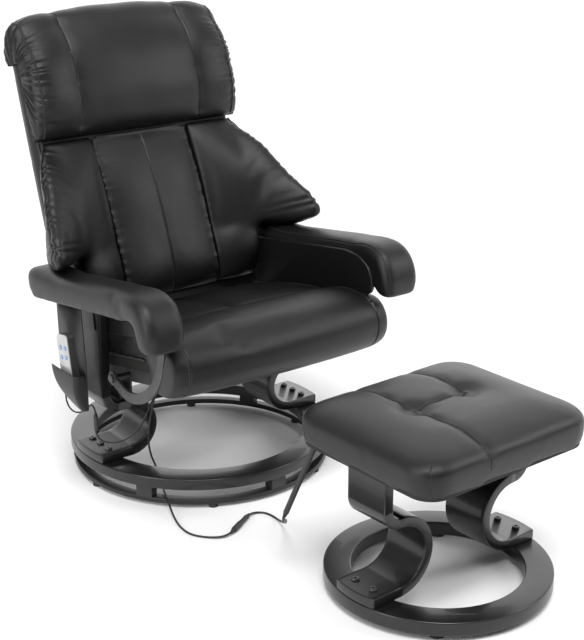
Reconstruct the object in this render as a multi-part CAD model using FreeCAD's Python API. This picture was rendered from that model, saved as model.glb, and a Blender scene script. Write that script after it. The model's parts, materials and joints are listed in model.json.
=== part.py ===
"""Massage recliner with footstool.

Millimetres, +Z up. The pieces are drawn about the swivel axis at floor level, with
the chair facing -Y and the sitter's right hand at -X, and are moved at the end so
that the origin is the middle of the whole footprint.
"""
import FreeCAD, Part
import math
import os

V = FreeCAD.Vector

# Fits and overruns shared by the whole part
overrun = 5.0
soft_gap = 0.3
running_gap = 0.06
slide_gap = 0.3
bolt_gap = 0.3

# Floor ring on its glides, with the swivel blocks that carry the upper ring
ring_step = 6.0
floor_ring_w = 22.0
floor_ring_h = 11.0
glide_h = 8.0
glide_r = 10.0
glide_count = 6
glide_first_deg = 2.0
block_count = 6
block_first_deg = 32.0
block_len = 36.0
block_w = 24.0
block_h = 25.0
tongue_w = 8.0
tongue_h = 6.0

# Swivel ring
ring_w = 54.0
ring_h = 25.0

# Bentwood legs of the chair: a foot, a C that bulges inwards, a short flat and a post
leg_t = 20.0
leg_w = 110.0
leg_c_r = 65.0
leg_flat = 25.0
leg_fillet_r = 20.0
leg_post_gap = 5.0
leg_foot_run = 79.0
leg_bolt_inset = 33.0
leg_bolt_pitch = 34.0

# Bolts
bolt_r = 4.0
bolt_head_r = 7.5
bolt_head_h = 5.0
bolt_grip = 14.0

# Seat: its plane rises towards the front
seat_tilt = 11.25
seat_z = 270.0
seat_frame_h = 16.0
seat_frame_w = 45.0
seat_board_t = 12.0
seat_overhang = 16.0
seat_board_front = 222.0
seat_board_rear = 85.0
seat_half_w = 252.0
seat_rear = 92.0
seat_crown_n = 99.0
seat_seam = 172.0
nose_y = -284.0
nose_n = 20.0
nose_r = 70.0
seam_dip = 5.0
seat_draw = 16.0

# Seat rails, brackets and cross tubes
rail_inset = 21.0
rail_w = 30.0
rail_h = 30.0
rail_wall = 2.0
rail_front = 215.0
rail_rear = 55.0
bracket_half_y = 45.0
bracket_t = 4.0
bracket_bolt_y = 25.0
cross_tube_r = 11.0
cross_tube_wall = 2.0
cross_front = 150.0
cross_rear = 38.0

# Recline hinge
hinge_y = 114.0
hinge_n = 17.5
hinge_plate_t = 5.0
hinge_lug_r = 15.0
hinge_plate_front = 20.0
hinge_plate_lift = 2.0
hinge_plate_drop = 28.0
hinge_plate_foot = 40.0
pin_r = 6.0
pin_head_r = 10.0
pin_head_h = 4.0
bush_r = 12.5
lock_t = 5.0
lock_r = 57.0
lock_pad_r = 9.0
lock_pad_at = 42.0
lock_pad_deg = 250.0
lock_from_deg = 236.0
lock_to_deg = 298.0

# Backrest, drawn upright about its hinge and then tilted back
back_tilt = 18.0
frame_tube_r = 11.0
frame_tube_wall = 1.5
frame_top_z = 606.0
frame_bend_r = 45.0
frame_bar_r = 9.0
frame_bar_low_z = 130.0
frame_bar_high_z = 380.0
back_board_t = 10.0
back_board_inset = 2.0
back_board_low_z = 64.0
frame_side_gap = 2.0
frame_head_gap = 13.0
shell_wall = 12.0
shell_rear_wall = 10.0
shell_rear_y = 35.0
shell_low_z = 42.0
shell_round = 18.0

# Centre cushion of the backrest
wing_w = 117.3
centre_low_z = 80.0
cushion_top_z = 453.0
centre_depth = 48.0
centre_seam_dip = 5.0
panel_gap = 0.6

# Wings of the backrest
wing_flare = 96.0
wing_reach = 176.0
wing_low_z = 84.0
wing_flare_z = 197.0

# Head pillow
pillow_overhang = 10.0
pillow_gap = 1.5
pillow_rise = 106.0
pillow_depth = 62.0
pillow_rear_y = 62.0
pillow_seam_share = 0.6
pillow_seam_dip = 5.0
pillow_roll_h = 60.0

# Massage motors
motor_r = 30.0
motor_h = 24.0
motor_gap = 1.0
back_motor_share = 0.489
back_motor_low_z = 175.0
back_motor_high_z = 325.0
seat_motor_x = 110.0
seat_motor_y = -40.0

# Arms, rising towards the front
arm_overlap = 7.5
arm_tilt = 8.0
arm_z = 420.0
arm_half_w = 47.5
arm_half_h = 28.0
arm_top_round = 25.0
arm_low_round = 10.0
arm_rim = 1.0
arm_rear = 140.0
arm_nose_at = 273.0
arm_nose_r = 50.0
arm_nose_end = 62.0
arm_board_t = 12.0
arm_board_inset = 40.0
arm_board_reach = 27.0
arm_board_rear = 105.0
arm_board_front = 235.0
arm_skirt_front_drop = 38.0
arm_skirt_rear_drop = 54.0
arm_skirt_rear = 60.0
arm_skirt_inset = 1.0
arm_bracket_t = 3.0
arm_bracket_drop = 60.0
arm_bracket_half_y = 30.0

# Recline lever: a bent flat bar that turns on a stud of the right rail
lever_gap = 17.0
lever_t = 6.0
lever_w = 22.0
lever_hub_r = 15.0
stud_r = 6.0
stud_head_r = 9.0
stud_head_h = 4.0
stud_forward = 88.0
lever_bends = ((-89, 272), (-150, 248), (-216, 268), (-272, 322), (-288, 390))

# Control box under the seat board, with its power inlet
box_half_w = 65.0
box_front = 80.0
box_rear = 0.0
box_drop = 20.0
inlet_x = 35.0
inlet_r = 5.5
inlet_bore_r = 2.8
inlet_len = 12.0
inlet_bore_len = 9.0

# Side pocket on the right arm
pocket_t = 3.0
pocket_front = -74.0
pocket_top_front = -61.0
pocket_top_rear = 42.0
pocket_top_drop = 6.0
pocket_mouth_z = 288.0
pocket_tip_z = 204.0
pocket_mouth_rear = 36.0
pocket_depth = 28.0
pocket_wall = 2.5
pocket_slot_w = 12.0
pocket_slot_low_z = 246.0

# Handset in the pocket
handset_tilt = 10.0
handset_y = -24.0
handset_z = 257.0
handset_w = 46.0
handset_len = 104.0
handset_t = 16.0
handset_round = 9.0
handset_wall = 3.0
handset_back_wall = 4.0
face_t = 2.0
circuit_t = 1.6
button_r = 4.5
button_flange_r = 6.5
button_flange_t = 1.0
button_proud = 1.5
button_stem = 3.5
button_pitch_w = 19.0
button_pitch_u = 20.0
button_first_u = 56.0
gland_r = 3.6
gland_len = 7.0
gland_u = 12.0

# Footstool, drawn about its own axis and then turned and moved in front of the chair
stool_at = (37.0, -758.0)
stool_turn = 2.8
stool_ring_out_r = 217.0
stool_ring_w = 53.0
stool_ring_h = 28.0
stool_glide_h = 12.0
stool_glide_r = 14.0
stool_glide_count = 4
stool_glide_first_deg = 45.0
stool_leg_w = 100.0
stool_c_r = 80.0
stool_foot_run = 72.0
stool_flat = 2.0
stool_bolt_inset = 29.0
stool_bolt_pitch = 24.0
stool_board_z = 290.0
stool_board_t = 12.0
stool_overhang = 12.0
stool_board_round = 45.0
stool_half_x = 217.0
stool_half_y = 187.0
stool_round = 60.0
stool_crown_h = 78.0
tuft_x = 68.0
tuft_y = 9.0
tuft_r = 40.0
tuft_depth = 15.0
seam_w = 11.0
seam_depth = 5.0
stool_motor_y = -75.0
stool_bracket_t = 4.0
stool_bracket_h = 50.0
stool_bracket_reach = 45.0
stool_bracket_half_y = 30.0

# Leads
stool_lead_r = 2.1
handset_lead_r = 1.8
sleeve_r = 5.5
plug_r = 6.0
plug_step_r = 5.0
handset_plug_r = 5.0

# Place of the swivel axis in the finished part
swivel_axis_x = 5.018
swivel_axis_y = 293.08

# Levels and places worked out from the sizes above
leg_c_x = seat_half_w + leg_post_gap - leg_flat - leg_fillet_r
ring_out_r = leg_c_x + leg_foot_run
ring_in_r = ring_out_r - ring_w
floor_ring_out_r = ring_out_r - ring_step
floor_ring_in_r = floor_ring_out_r - floor_ring_w
leg_bolt_x = ring_out_r - leg_bolt_inset
seat_board_half_w = seat_half_w - seat_overhang
rail_x = seat_board_half_w - rail_inset
shell_half_w = rail_x + frame_tube_r + frame_side_gap + shell_wall
shell_top_z = frame_top_z + frame_tube_r + frame_head_gap + shell_wall
back_board_half_w = shell_half_w - back_board_inset
centre_half_w = shell_half_w - wing_w
back_motor_x = back_motor_share * centre_half_w
wing_out_x = shell_half_w + wing_flare
pillow_half_w = shell_half_w + pillow_overhang
pillow_low_z = cushion_top_z + pillow_gap
pillow_top_z = shell_top_z + pillow_rise
arm_x = seat_half_w - arm_overlap + arm_half_w
arm_board_in_x = arm_x - arm_board_inset
arm_board_out_x = arm_x + arm_board_reach
lever_x = seat_half_w + lever_gap
stool_ring_in_r = stool_ring_out_r - stool_ring_w
stool_c_x = stool_ring_out_r - stool_foot_run
stool_bolt_x = stool_ring_out_r - stool_bolt_inset
stool_board_half_x = stool_half_x - stool_overhang
stool_board_half_y = stool_half_y - stool_overhang
floor_ring_z = glide_h
floor_ring_top = floor_ring_z + floor_ring_h
ring_z = floor_ring_top + block_h
ring_top = ring_z + ring_h
track_r = (floor_ring_out_r + floor_ring_in_r) / 2
leg_post_in_x = leg_c_x + leg_flat + leg_fillet_r
leg_post_out_x = leg_post_in_x + leg_t
leg_flat_top = ring_top + 2 * leg_c_r
seat_top_of_board = seat_frame_h + seat_board_t
board_rear_y = -frame_tube_r - soft_gap
board_front_y = board_rear_y - back_board_t
soft_rear_y = board_front_y - panel_gap
wing_in_x = centre_half_w + panel_gap
stool_ring_top = stool_glide_h + stool_ring_h
stool_board_top = stool_board_z + stool_board_t
pocket_in_x = -arm_board_out_x - soft_gap
pocket_out_x = pocket_in_x - pocket_t


# Building blocks
def block(x0, x1, y0, y1, z0, z1):
    return Part.makeBox(x1 - x0, y1 - y0, z1 - z0, V(x0, y0, z0))


def rod(radius, start, end):
    axis = V(*end) - V(*start)
    return Part.makeCylinder(radius, axis.Length, V(*start), axis)


def washer(r_out, r_in, z0, z1):
    outer = Part.makeCylinder(r_out, z1 - z0, V(0, 0, z0))
    return outer.cut(Part.makeCylinder(r_in, z1 - z0, V(0, 0, z0)))


def on_x(x):
    return lambda y, z: V(x, y, z)


def on_y(y):
    return lambda x, z: V(x, y, z)


def on_z(z):
    return lambda x, y: V(x, y, z)


def wire(plane, start, *steps):
    """One closed outline: a step of one point is a line, of two points an arc."""
    edges = []
    here = plane(*start)
    for step in steps:
        end = plane(*step[-1])
        if len(step) == 2:
            edges.append(Part.Arc(here, plane(*step[0]), end).toShape())
        else:
            edges.append(Part.LineSegment(here, end).toShape())
        here = end
    return Part.Wire(edges)


def prism(outline, along):
    return Part.Face(outline).extrude(along)


def loft(outlines):
    return Part.makeLoft(outlines, True, False)


def rounded_outline(centre, across, up, half_w, half_h, corner):
    """A rounded rectangle about centre, in the plane of the two unit directions."""
    plane = lambda a, b: centre + across * a + up * b
    inner_w = half_w - corner
    inner_h = half_h - corner
    lean = corner * math.sqrt(0.5)
    return wire(
        plane,
        (-inner_w, -half_h),
        ((inner_w, -half_h),),
        ((inner_w + lean, -inner_h - lean), (half_w, -inner_h)),
        ((half_w, inner_h),),
        ((inner_w + lean, inner_h + lean), (inner_w, half_h)),
        ((-inner_w, half_h),),
        ((-inner_w - lean, inner_h + lean), (-half_w, inner_h)),
        ((-half_w, -inner_h),),
        ((-inner_w - lean, -inner_h - lean), (-inner_w, -half_h)),
    )


def mirrored(shape):
    return shape.mirror(V(0, 0, 0), V(1, 0, 0))


def tilted(shape, degrees, y, z):
    """Turns a shape drawn upright about X, its front rising, and lifts it to its place."""
    turned = shape.copy()
    turned.rotate(V(0, 0, 0), V(1, 0, 0), -degrees)
    turned.translate(V(0, y, z))
    return turned


def in_seat(shape):
    return tilted(shape, seat_tilt, 0, seat_z)


def in_arm(shape):
    return tilted(shape, arm_tilt, 0, arm_z)


seat_sin = math.sin(math.radians(seat_tilt))
seat_cos = math.cos(math.radians(seat_tilt))
hinge_world_y = hinge_y * seat_cos + hinge_n * seat_sin
hinge_world_z = seat_z - hinge_y * seat_sin + hinge_n * seat_cos


def in_back(shape):
    return tilted(shape, back_tilt, hinge_world_y, hinge_world_z)


def in_stool(shape):
    moved = shape.copy()
    moved.rotate(V(0, 0, 0), V(0, 0, 1), stool_turn)
    moved.translate(V(stool_at[0], stool_at[1], 0))
    return moved


def bolt(x, y, top, length):
    head = Part.makeCylinder(bolt_head_r, bolt_head_h, V(x, y, top))
    shank = Part.makeCylinder(bolt_r, length, V(x, y, top - length))
    return head.fuse(shank).removeSplitter()


def bolt_hole(x, y, top, length):
    return Part.makeCylinder(bolt_r + bolt_gap, length + overrun, V(x, y, top - length))


def rounded_path(points, name):
    """Straight runs joined by tangent arcs, each as large as its two runs allow."""
    turn_share = 0.45
    pts = [V(*p) for p in points]
    edges = []
    radii = []
    here = pts[0]
    for before, corner, after in zip(pts, pts[1:], pts[2:]):
        back = (before - corner).normalize()
        ahead = (after - corner).normalize()
        trim = turn_share * min((before - corner).Length, (after - corner).Length)
        half_turn = (math.pi - back.getAngle(ahead)) / 2
        radius = trim / math.tan(half_turn)
        radii.append(radius)
        middle = (back + ahead).normalize()
        reach = radius / math.cos(half_turn) - radius
        start = corner + back * trim
        end = corner + ahead * trim
        edges.append(Part.LineSegment(here, start).toShape())
        edges.append(Part.Arc(start, corner + middle * reach, end).toShape())
        here = end
    edges.append(Part.LineSegment(here, pts[-1]).toShape())
    path = Part.Wire(edges)
    print(name, "length", round(path.Length, 1), "radii", [round(r, 1) for r in radii])
    return path


def lead(points, radius, name):
    path = rounded_path(points, name)
    start = V(*points[0])
    along = V(*points[1]) - start
    section = Part.Wire(Part.makeCircle(radius, start, along))
    tube = path.makePipeShell([section], True, False)
    expected = math.pi * radius ** 2 * path.Length
    print(name, "volume over section times length", round(tube.Volume / expected, 4))
    return tube


def export(name, *solids):
    shape = solids[0].copy() if len(solids) == 1 else Part.makeCompound(list(solids))
    shape.translate(V(swivel_axis_x, swivel_axis_y, 0))
    for solid in shape.Solids:
        if not solid.isValid() or solid.Volume <= 0:
            print("CHECK", name, "has a faulty solid")
    shape.exportStep("parts/" + name + ".step")


os.makedirs("parts", exist_ok=True)


# Floor ring, glides and swivel blocks
def around(radius, count, first_deg):
    for k in range(count):
        angle = first_deg + 360.0 * k / count
        turn = math.radians(angle)
        yield angle, radius * math.cos(turn), radius * math.sin(turn)


def swivel_block(angle, x, y):
    body_h = block_h - slide_gap
    half_w = block_w / 2
    half_len = block_len / 2
    body = block(-half_w, half_w, -half_len, half_len, 0, body_h + tongue_h)
    body.rotate(V(0, 0, 0), V(0, 0, 1), angle)
    body.translate(V(x, y, floor_ring_top))
    track = washer(track_r + tongue_w / 2, track_r - tongue_w / 2, ring_z - slide_gap, ring_top)
    base = washer(ring_out_r + block_w, ring_in_r - block_w, floor_ring_top, ring_z - slide_gap)
    return body.common(track.fuse(base)).removeSplitter()


floor_ring = washer(floor_ring_out_r, floor_ring_in_r, floor_ring_z, floor_ring_top)
glides = [
    Part.makeCylinder(glide_r, glide_h, V(x, y, 0))
    for _, x, y in around(track_r, glide_count, glide_first_deg)
]
blocks = [swivel_block(*place) for place in around(track_r, block_count, block_first_deg)]

# Swivel ring with the groove that runs over the blocks' tongues
groove_half = tongue_w / 2 + slide_gap
groove = washer(track_r + groove_half, track_r - groove_half, ring_z - overrun, ring_z + tongue_h + slide_gap)
swivel_ring = washer(ring_out_r, ring_in_r, ring_z, ring_top).cut(groove)
leg_bolts = []
for side in (-1, 1):
    for step in (-1, 0, 1):
        place = (side * leg_bolt_x, step * leg_bolt_pitch, ring_top + leg_t)
        leg_bolts.append(bolt(*place, leg_t + bolt_grip))
        swivel_ring = swivel_ring.cut(bolt_hole(*place, leg_t + bolt_grip))


# Bentwood legs
def s_leg(foot_z, c_x, c_r, flat, foot_x, post_top, width):
    """The S profile in XZ, extruded along Y; the C is a half round and the post a quarter turn away."""
    c_z = foot_z + c_r
    c_in_r = c_r - leg_t
    top_z = foot_z + 2 * c_r
    bend_x = c_x + flat
    bend_z = top_z + leg_fillet_r
    lean = math.sqrt(0.5)
    bend_out_r = leg_fillet_r + leg_t
    outline = wire(
        on_y(-width / 2),
        (foot_x, foot_z),
        ((c_x, foot_z),),
        ((c_x - c_r, c_z), (c_x, top_z)),
        ((bend_x, top_z),),
        ((bend_x + leg_fillet_r * lean, bend_z - leg_fillet_r * lean), (bend_x + leg_fillet_r, bend_z)),
        ((bend_x + leg_fillet_r, post_top),),
        ((bend_x + bend_out_r, post_top),),
        ((bend_x + bend_out_r, bend_z),),
        ((bend_x + bend_out_r * lean, bend_z - bend_out_r * lean), (bend_x, bend_z - bend_out_r)),
        ((c_x, bend_z - bend_out_r),),
        ((c_x - c_in_r, c_z), (c_x, foot_z + leg_t)),
        ((foot_x, foot_z + leg_t),),
        ((foot_x, foot_z),),
    )
    return prism(outline, V(0, width, 0))


arm_above = in_arm(block(-ring_out_r - leg_w, ring_out_r + leg_w, -leg_w, leg_w, 0, leg_w))
leg_left = s_leg(ring_top, leg_c_x, leg_c_r, leg_flat, ring_out_r, arm_z + leg_w / 2, leg_w).cut(arm_above)
foot_round = washer(
    ring_out_r + leg_w, ring_out_r - slide_gap, ring_top - overrun, ring_top + leg_t + overrun)
leg_left = leg_left.cut(foot_round)
for step in (-1, 0, 1):
    leg_left = leg_left.cut(bolt_hole(leg_bolt_x, step * leg_bolt_pitch, ring_top + leg_t, leg_t + overrun))
bracket_bolts = []
for step in (-1, 1):
    place = (rail_x, step * bracket_bolt_y, leg_flat_top + bracket_t)
    leg_left = leg_left.cut(bolt_hole(*place, leg_t + 2 * bracket_t))
    for side in (-1, 1):
        bracket_bolts.append(bolt(side * place[0], place[1], place[2], leg_t))
leg_right = mirrored(leg_left)

# Seat brackets: channels on the legs' flats, cut to the slope of the rails
rail_in_x = rail_x - rail_w / 2
rail_out_x = rail_x + rail_w / 2
rail_above = in_seat(block(0, ring_out_r, -ring_out_r, ring_out_r, -rail_h, ring_out_r))
bracket = block(rail_in_x, rail_out_x, -bracket_half_y, bracket_half_y, leg_flat_top, seat_z + rail_h)
channel = block(
    rail_in_x + bracket_t, rail_out_x - bracket_t, -bracket_half_y - overrun, bracket_half_y + overrun,
    leg_flat_top + bracket_t, seat_z + rail_h + overrun)
bracket = bracket.cut(channel).cut(rail_above)
for step in (-1, 1):
    bracket = bracket.cut(
        bolt_hole(rail_x, step * bracket_bolt_y, leg_flat_top + bracket_t, bracket_t + overrun))

# Seat rails and cross tubes
rail = block(rail_in_x, rail_out_x, -rail_front, rail_rear, -rail_h, 0)
rail_bore = block(
    rail_in_x + rail_wall, rail_out_x - rail_wall, -rail_front - overrun, rail_rear + overrun,
    -rail_h + rail_wall, -rail_wall)
rail = in_seat(rail.cut(rail_bore))
cross_n = -rail_h / 2


def cross_tube(y, end_x):
    ends = (-end_x, y, cross_n), (end_x, y, cross_n)
    outer = rod(cross_tube_r, *ends)
    inner = rod(cross_tube_r - cross_tube_wall, *ends)
    return in_seat(outer.cut(inner))


# Hinge plates, pins and the friction pads of the recline lock
def hinge_plate(x0):
    lug_top = hinge_n + hinge_lug_r
    outline = wire(
        on_x(x0),
        (hinge_plate_front, -hinge_plate_drop),
        ((hinge_plate_front, -hinge_plate_lift),),
        ((hinge_y - hinge_lug_r - hinge_plate_t, -hinge_plate_lift),),
        ((hinge_y - hinge_lug_r, hinge_n),),
        ((hinge_y, lug_top), (hinge_y + hinge_lug_r, hinge_n)),
        ((hinge_y + hinge_lug_r, -hinge_plate_foot),),
        ((hinge_y - hinge_plate_drop, -hinge_plate_foot),),
        ((hinge_plate_front, -hinge_plate_drop),),
    )
    plate = prism(outline, V(hinge_plate_t, 0, 0))
    bore = rod(pin_r + running_gap, (x0 - overrun, hinge_y, hinge_n),
               (x0 + hinge_plate_t + overrun, hinge_y, hinge_n))
    return in_seat(plate.cut(bore))


plate_in_x = rail_in_x - hinge_plate_t
plate_out_x = rail_out_x + hinge_plate_t
plates_left = [hinge_plate(plate_in_x), hinge_plate(rail_out_x)]
pin = rod(pin_r, (plate_in_x, 0, 0), (plate_out_x, 0, 0))
pin_head = rod(pin_head_r, (plate_out_x, 0, 0), (plate_out_x + pin_head_h, 0, 0))
pin_left = tilted(pin.fuse(pin_head).removeSplitter(), 0, hinge_world_y, hinge_world_z)
pad_turn = math.radians(lock_pad_deg)
pad_y = hinge_world_y + lock_pad_at * math.cos(pad_turn)
pad_z = hinge_world_z + lock_pad_at * math.sin(pad_turn)
pad_end = rail_x - lock_t / 2 - slide_gap
pad_end_out = rail_x + lock_t / 2 + slide_gap
lock_pads = [
    rod(lock_pad_r, (-rail_in_x, pad_y, pad_z), (-pad_end, pad_y, pad_z)),
    rod(lock_pad_r, (-pad_end_out, pad_y, pad_z), (-rail_out_x, pad_y, pad_z)),
]

# Seat frame, board and cushion
batten_front = -seat_board_front + seat_frame_w
batten_rear = seat_board_rear - seat_frame_w
side_batten = in_seat(block(
    seat_board_half_w - seat_frame_w, seat_board_half_w, batten_front, batten_rear, 0, seat_frame_h))
front_batten = in_seat(block(
    -seat_board_half_w, seat_board_half_w, -seat_board_front, batten_front, 0, seat_frame_h))
rear_batten = in_seat(block(
    -seat_board_half_w, seat_board_half_w, batten_rear, seat_board_rear, 0, seat_frame_h))
seat_board = in_seat(block(
    -seat_board_half_w, seat_board_half_w, -seat_board_front, seat_board_rear,
    seat_frame_h, seat_top_of_board))


def seat_section(x, inset):
    """Side profile of the seat cushion: rolled nose, crossing seam and rounded rear edge."""
    base = seat_top_of_board + soft_gap
    front = -seat_board_front - soft_gap
    r = nose_r - inset
    lean = r * math.sqrt(0.5)
    top = seat_crown_n - inset
    rear = seat_rear - inset / 2
    shoulder = nose_r / 3
    roof = top - seam_dip
    under_shares = (0.52, 0.86)
    return wire(
        on_x(x),
        (rear, base),
        ((front, base),),
        ((front, nose_n - r / 2),),
        ((nose_y + under_shares[0] * r, nose_n - under_shares[1] * r), (nose_y, nose_n - r)),
        ((nose_y - lean, nose_n - lean), (nose_y - r, nose_n)),
        ((nose_y - lean, nose_n + lean), (nose_y, nose_n + r)),
        (((nose_y - seat_seam) / 2, top), (-seat_seam, roof)),
        ((-seat_seam / 3, top), (rear - shoulder, roof)),
        ((rear - shoulder / 4, roof - shoulder / 4), (rear, roof - shoulder)),
        ((rear, base),),
    )


seat_x_shares = (0.0, 0.35, 0.68, 0.87, 0.96, 1.0)
seat_inset_shares = (0.0, 0.03, 0.12, 0.3, 0.6, 1.0)
seat_insets = [share * seat_draw for share in seat_inset_shares]


def crosswise(section, x_shares, insets, half_w):
    """A cushion lofted from one side to the other, drawn in towards its ends."""
    half = [(share * half_w, inset) for share, inset in zip(x_shares, insets)]
    whole = [(-x, inset) for x, inset in reversed(half[1:])] + half
    return loft([section(x, inset) for x, inset in whole])


seat_cushion = crosswise(seat_section, seat_x_shares, seat_insets, seat_half_w)
seat_motors = []
for side in (-1, 1):
    at = V(side * seat_motor_x, seat_motor_y, seat_top_of_board)
    seat_motors.append(in_seat(Part.makeCylinder(motor_r, motor_h, at)))
    pocket = Part.makeCylinder(motor_r + motor_gap, motor_h + motor_gap, at)
    seat_cushion = seat_cushion.cut(pocket)
seat_cushion = in_seat(seat_cushion)

# Control box under the seat board, with its power inlet
control_box = block(-box_half_w, box_half_w, -box_front, -box_rear, -box_drop, seat_frame_h)
box_edges = [e for e in control_box.Edges if abs(e.Vertexes[0].Z - e.Vertexes[1].Z) > box_drop]
control_box = in_seat(control_box.makeFillet(bolt_head_r, box_edges))
inlet_y = -(box_front + box_rear) / 2
inlet_low = -box_drop - inlet_len
power_inlet = Part.makeCylinder(inlet_r, inlet_len, V(inlet_x, inlet_y, inlet_low))
inlet_bore = Part.makeCylinder(inlet_bore_r, inlet_bore_len, V(inlet_x, inlet_y, inlet_low))
power_inlet = in_seat(power_inlet.cut(inlet_bore))


# Backrest frame: a hooped tube with two bars, its hinge bushes and the lock quadrant
def hoop(radius):
    corner = frame_bend_r * (1 - math.sqrt(0.5))
    side_top = frame_top_z - frame_bend_r
    top_x = rail_x - frame_bend_r
    path = wire(
        on_y(0),
        (rail_x, 0),
        ((rail_x, side_top),),
        ((rail_x - corner, frame_top_z - corner), (top_x, frame_top_z)),
        ((-top_x, frame_top_z),),
        ((-rail_x + corner, frame_top_z - corner), (-rail_x, side_top)),
        ((-rail_x, 0),),
    )
    section = Part.Wire(Part.makeCircle(radius, V(rail_x, 0, 0), V(0, 0, 1)))
    return path.makePipeShell([section], True, False)


def quadrant():
    """The plate that the friction pads grip, in the row's own directions about the hinge."""
    arms = []
    for degrees in (lock_from_deg, (lock_from_deg + lock_to_deg) / 2, lock_to_deg):
        turn = math.radians(degrees)
        arms.append((lock_r * math.cos(turn), lock_r * math.sin(turn)))
    outline = wire(on_x(-rail_x - lock_t / 2), (0, 0), (arms[0],), (arms[1], arms[2]), ((0, 0),))
    plate = prism(outline, V(lock_t, 0, 0))
    return tilted(plate, -back_tilt, 0, 0)


back_frame = hoop(frame_tube_r).cut(hoop(frame_tube_r - frame_tube_wall))
for z in (frame_bar_low_z, frame_bar_high_z):
    bar = rod(frame_bar_r, (-rail_x, 0, z), (rail_x, 0, z))
    back_frame = back_frame.fuse(bar.cut(hoop(frame_tube_r - frame_tube_wall)))
back_frame = back_frame.fuse(quadrant())
bush_half = rail_w / 2 - slide_gap
for side in (-1, 1):
    middle = side * rail_x
    back_frame = back_frame.fuse(rod(bush_r, (middle - bush_half, 0, 0), (middle + bush_half, 0, 0)))
for side in (-1, 1):
    middle = side * rail_x
    reach = rail_w
    back_frame = back_frame.cut(rod(pin_r + running_gap, (middle - reach, 0, 0), (middle + reach, 0, 0)))
back_frame = in_back(back_frame.removeSplitter())

back_board = in_back(block(
    -back_board_half_w, back_board_half_w, board_front_y, board_rear_y, back_board_low_z, shell_top_z))

# Rear shell: a tray closed by the board, open below for the frame
shell = block(-shell_half_w, shell_half_w, board_rear_y, shell_rear_y, shell_low_z, shell_top_z)
rear_edges = [
    e for e in shell.Edges
    if all(abs(v.Y - shell_rear_y) < soft_gap for v in e.Vertexes)
    and any(v.Z > shell_low_z + overrun for v in e.Vertexes)
]
shell = shell.makeFillet(shell_round, rear_edges)
shell_hollow = block(
    -shell_half_w + shell_wall, shell_half_w - shell_wall, board_rear_y - overrun,
    shell_rear_y - shell_rear_wall, shell_low_z - overrun, shell_top_z - shell_wall)
back_shell = in_back(shell.cut(shell_hollow))


# Centre cushion: lofted upwards, with a seam down its middle
def centre_section(z, side_share, front_share):
    side_y = soft_rear_y - side_share * centre_depth
    front_y = soft_rear_y - front_share * centre_depth
    seam_y = front_y + centre_seam_dip * front_share
    half = centre_half_w
    return wire(
        on_z(z),
        (-half, soft_rear_y),
        ((-half, side_y),),
        ((-half / 2, front_y), (0, seam_y)),
        ((half / 2, front_y), (half, side_y)),
        ((half, soft_rear_y),),
        ((-half, soft_rear_y),),
    )


centre_z_shares = (0.0, 0.06, 0.36, 0.6, 0.83, 1.0)
centre_side_shares = (0.3, 0.66, 0.74, 0.6, 0.34, 0.06)
centre_front_shares = (0.5, 0.9, 1.0, 0.86, 0.55, 0.16)
centre_h = cushion_top_z - centre_low_z
back_cushion = loft([
    centre_section(centre_low_z + z * centre_h, side, front)
    for z, side, front in zip(centre_z_shares, centre_side_shares, centre_front_shares)
])
back_motors = []
for z in (back_motor_low_z, back_motor_high_z):
    for side in (-1, 1):
        at = V(side * back_motor_x, board_front_y, z)
        back_motors.append(in_back(Part.makeCylinder(motor_r, motor_h, at, V(0, -1, 0))))
        back_cushion = back_cushion.cut(
            Part.makeCylinder(motor_r + motor_gap, motor_h + motor_gap, at, V(0, -1, 0)))
back_cushion = in_back(back_cushion)


# Wings: a slim part between the arms and a flared part that sweeps out over them
def wing_point(x_share, y_share):
    width = wing_out_x - wing_in_x
    return (wing_in_x + x_share * width, soft_rear_y - y_share * wing_reach)


def flare_section(z, inner, front, tip, brow, side, flank, rear):
    start = wing_point(0, 0)
    return wire(
        on_z(z),
        start,
        (wing_point(0, inner),),
        (wing_point(*front), wing_point(*tip)),
        (wing_point(*brow), wing_point(*side)),
        (wing_point(*flank), wing_point(rear, 0)),
        (start,),
    )


def slim_section(z, inner, front, tip, brow, rear):
    start = wing_point(0, 0)
    return wire(
        on_z(z),
        start,
        (wing_point(0, inner),),
        (wing_point(*front), wing_point(*tip)),
        (wing_point(*brow), wing_point(rear, 0)),
        (start,),
    )


flare_shares = (
    (0.0, 0.20, (0.48, 0.49), (0.88, 0.90), (0.96, 0.88), (0.955, 0.78), (0.82, 0.33), 0.60),
    (0.07, 0.20, (0.48, 0.51), (0.905, 0.98), (1.0, 0.955), (0.995, 0.83), (0.85, 0.33), 0.61),
    (0.31, 0.21, (0.445, 0.445), (0.82, 0.775), (0.915, 0.757), (0.915, 0.63), (0.79, 0.275), 0.60),
    (0.62, 0.17, (0.385, 0.355), (0.70, 0.513), (0.785, 0.49), (0.785, 0.38), (0.71, 0.16), 0.585),
    (0.91, 0.09, (0.315, 0.185), (0.54, 0.18), (0.60, 0.15), (0.612, 0.09), (0.605, 0.04), 0.575),
    (1.0, 0.045, (0.29, 0.10), (0.48, 0.09), (0.535, 0.07), (0.55, 0.04), (0.556, 0.02), 0.553),
)
slim_shares = (
    (0.0, 0.115, (0.26, 0.20), (0.43, 0.17), (0.475, 0.115), 0.49),
    (0.2, 0.17, (0.26, 0.30), (0.445, 0.28), (0.502, 0.19), 0.507),
    (1.0, 0.205, (0.26, 0.36), (0.455, 0.415), (0.509, 0.27), 0.512),
)
flare_h = cushion_top_z - wing_flare_z
slim_h = wing_flare_z - wing_low_z
flare = loft([flare_section(wing_flare_z + row[0] * flare_h, *row[1:]) for row in flare_shares])
slim = loft([slim_section(wing_low_z + row[0] * slim_h, *row[1:]) for row in slim_shares])
wing_left = in_back(flare.fuse(slim))
wing_right = mirrored(wing_left)


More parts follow.
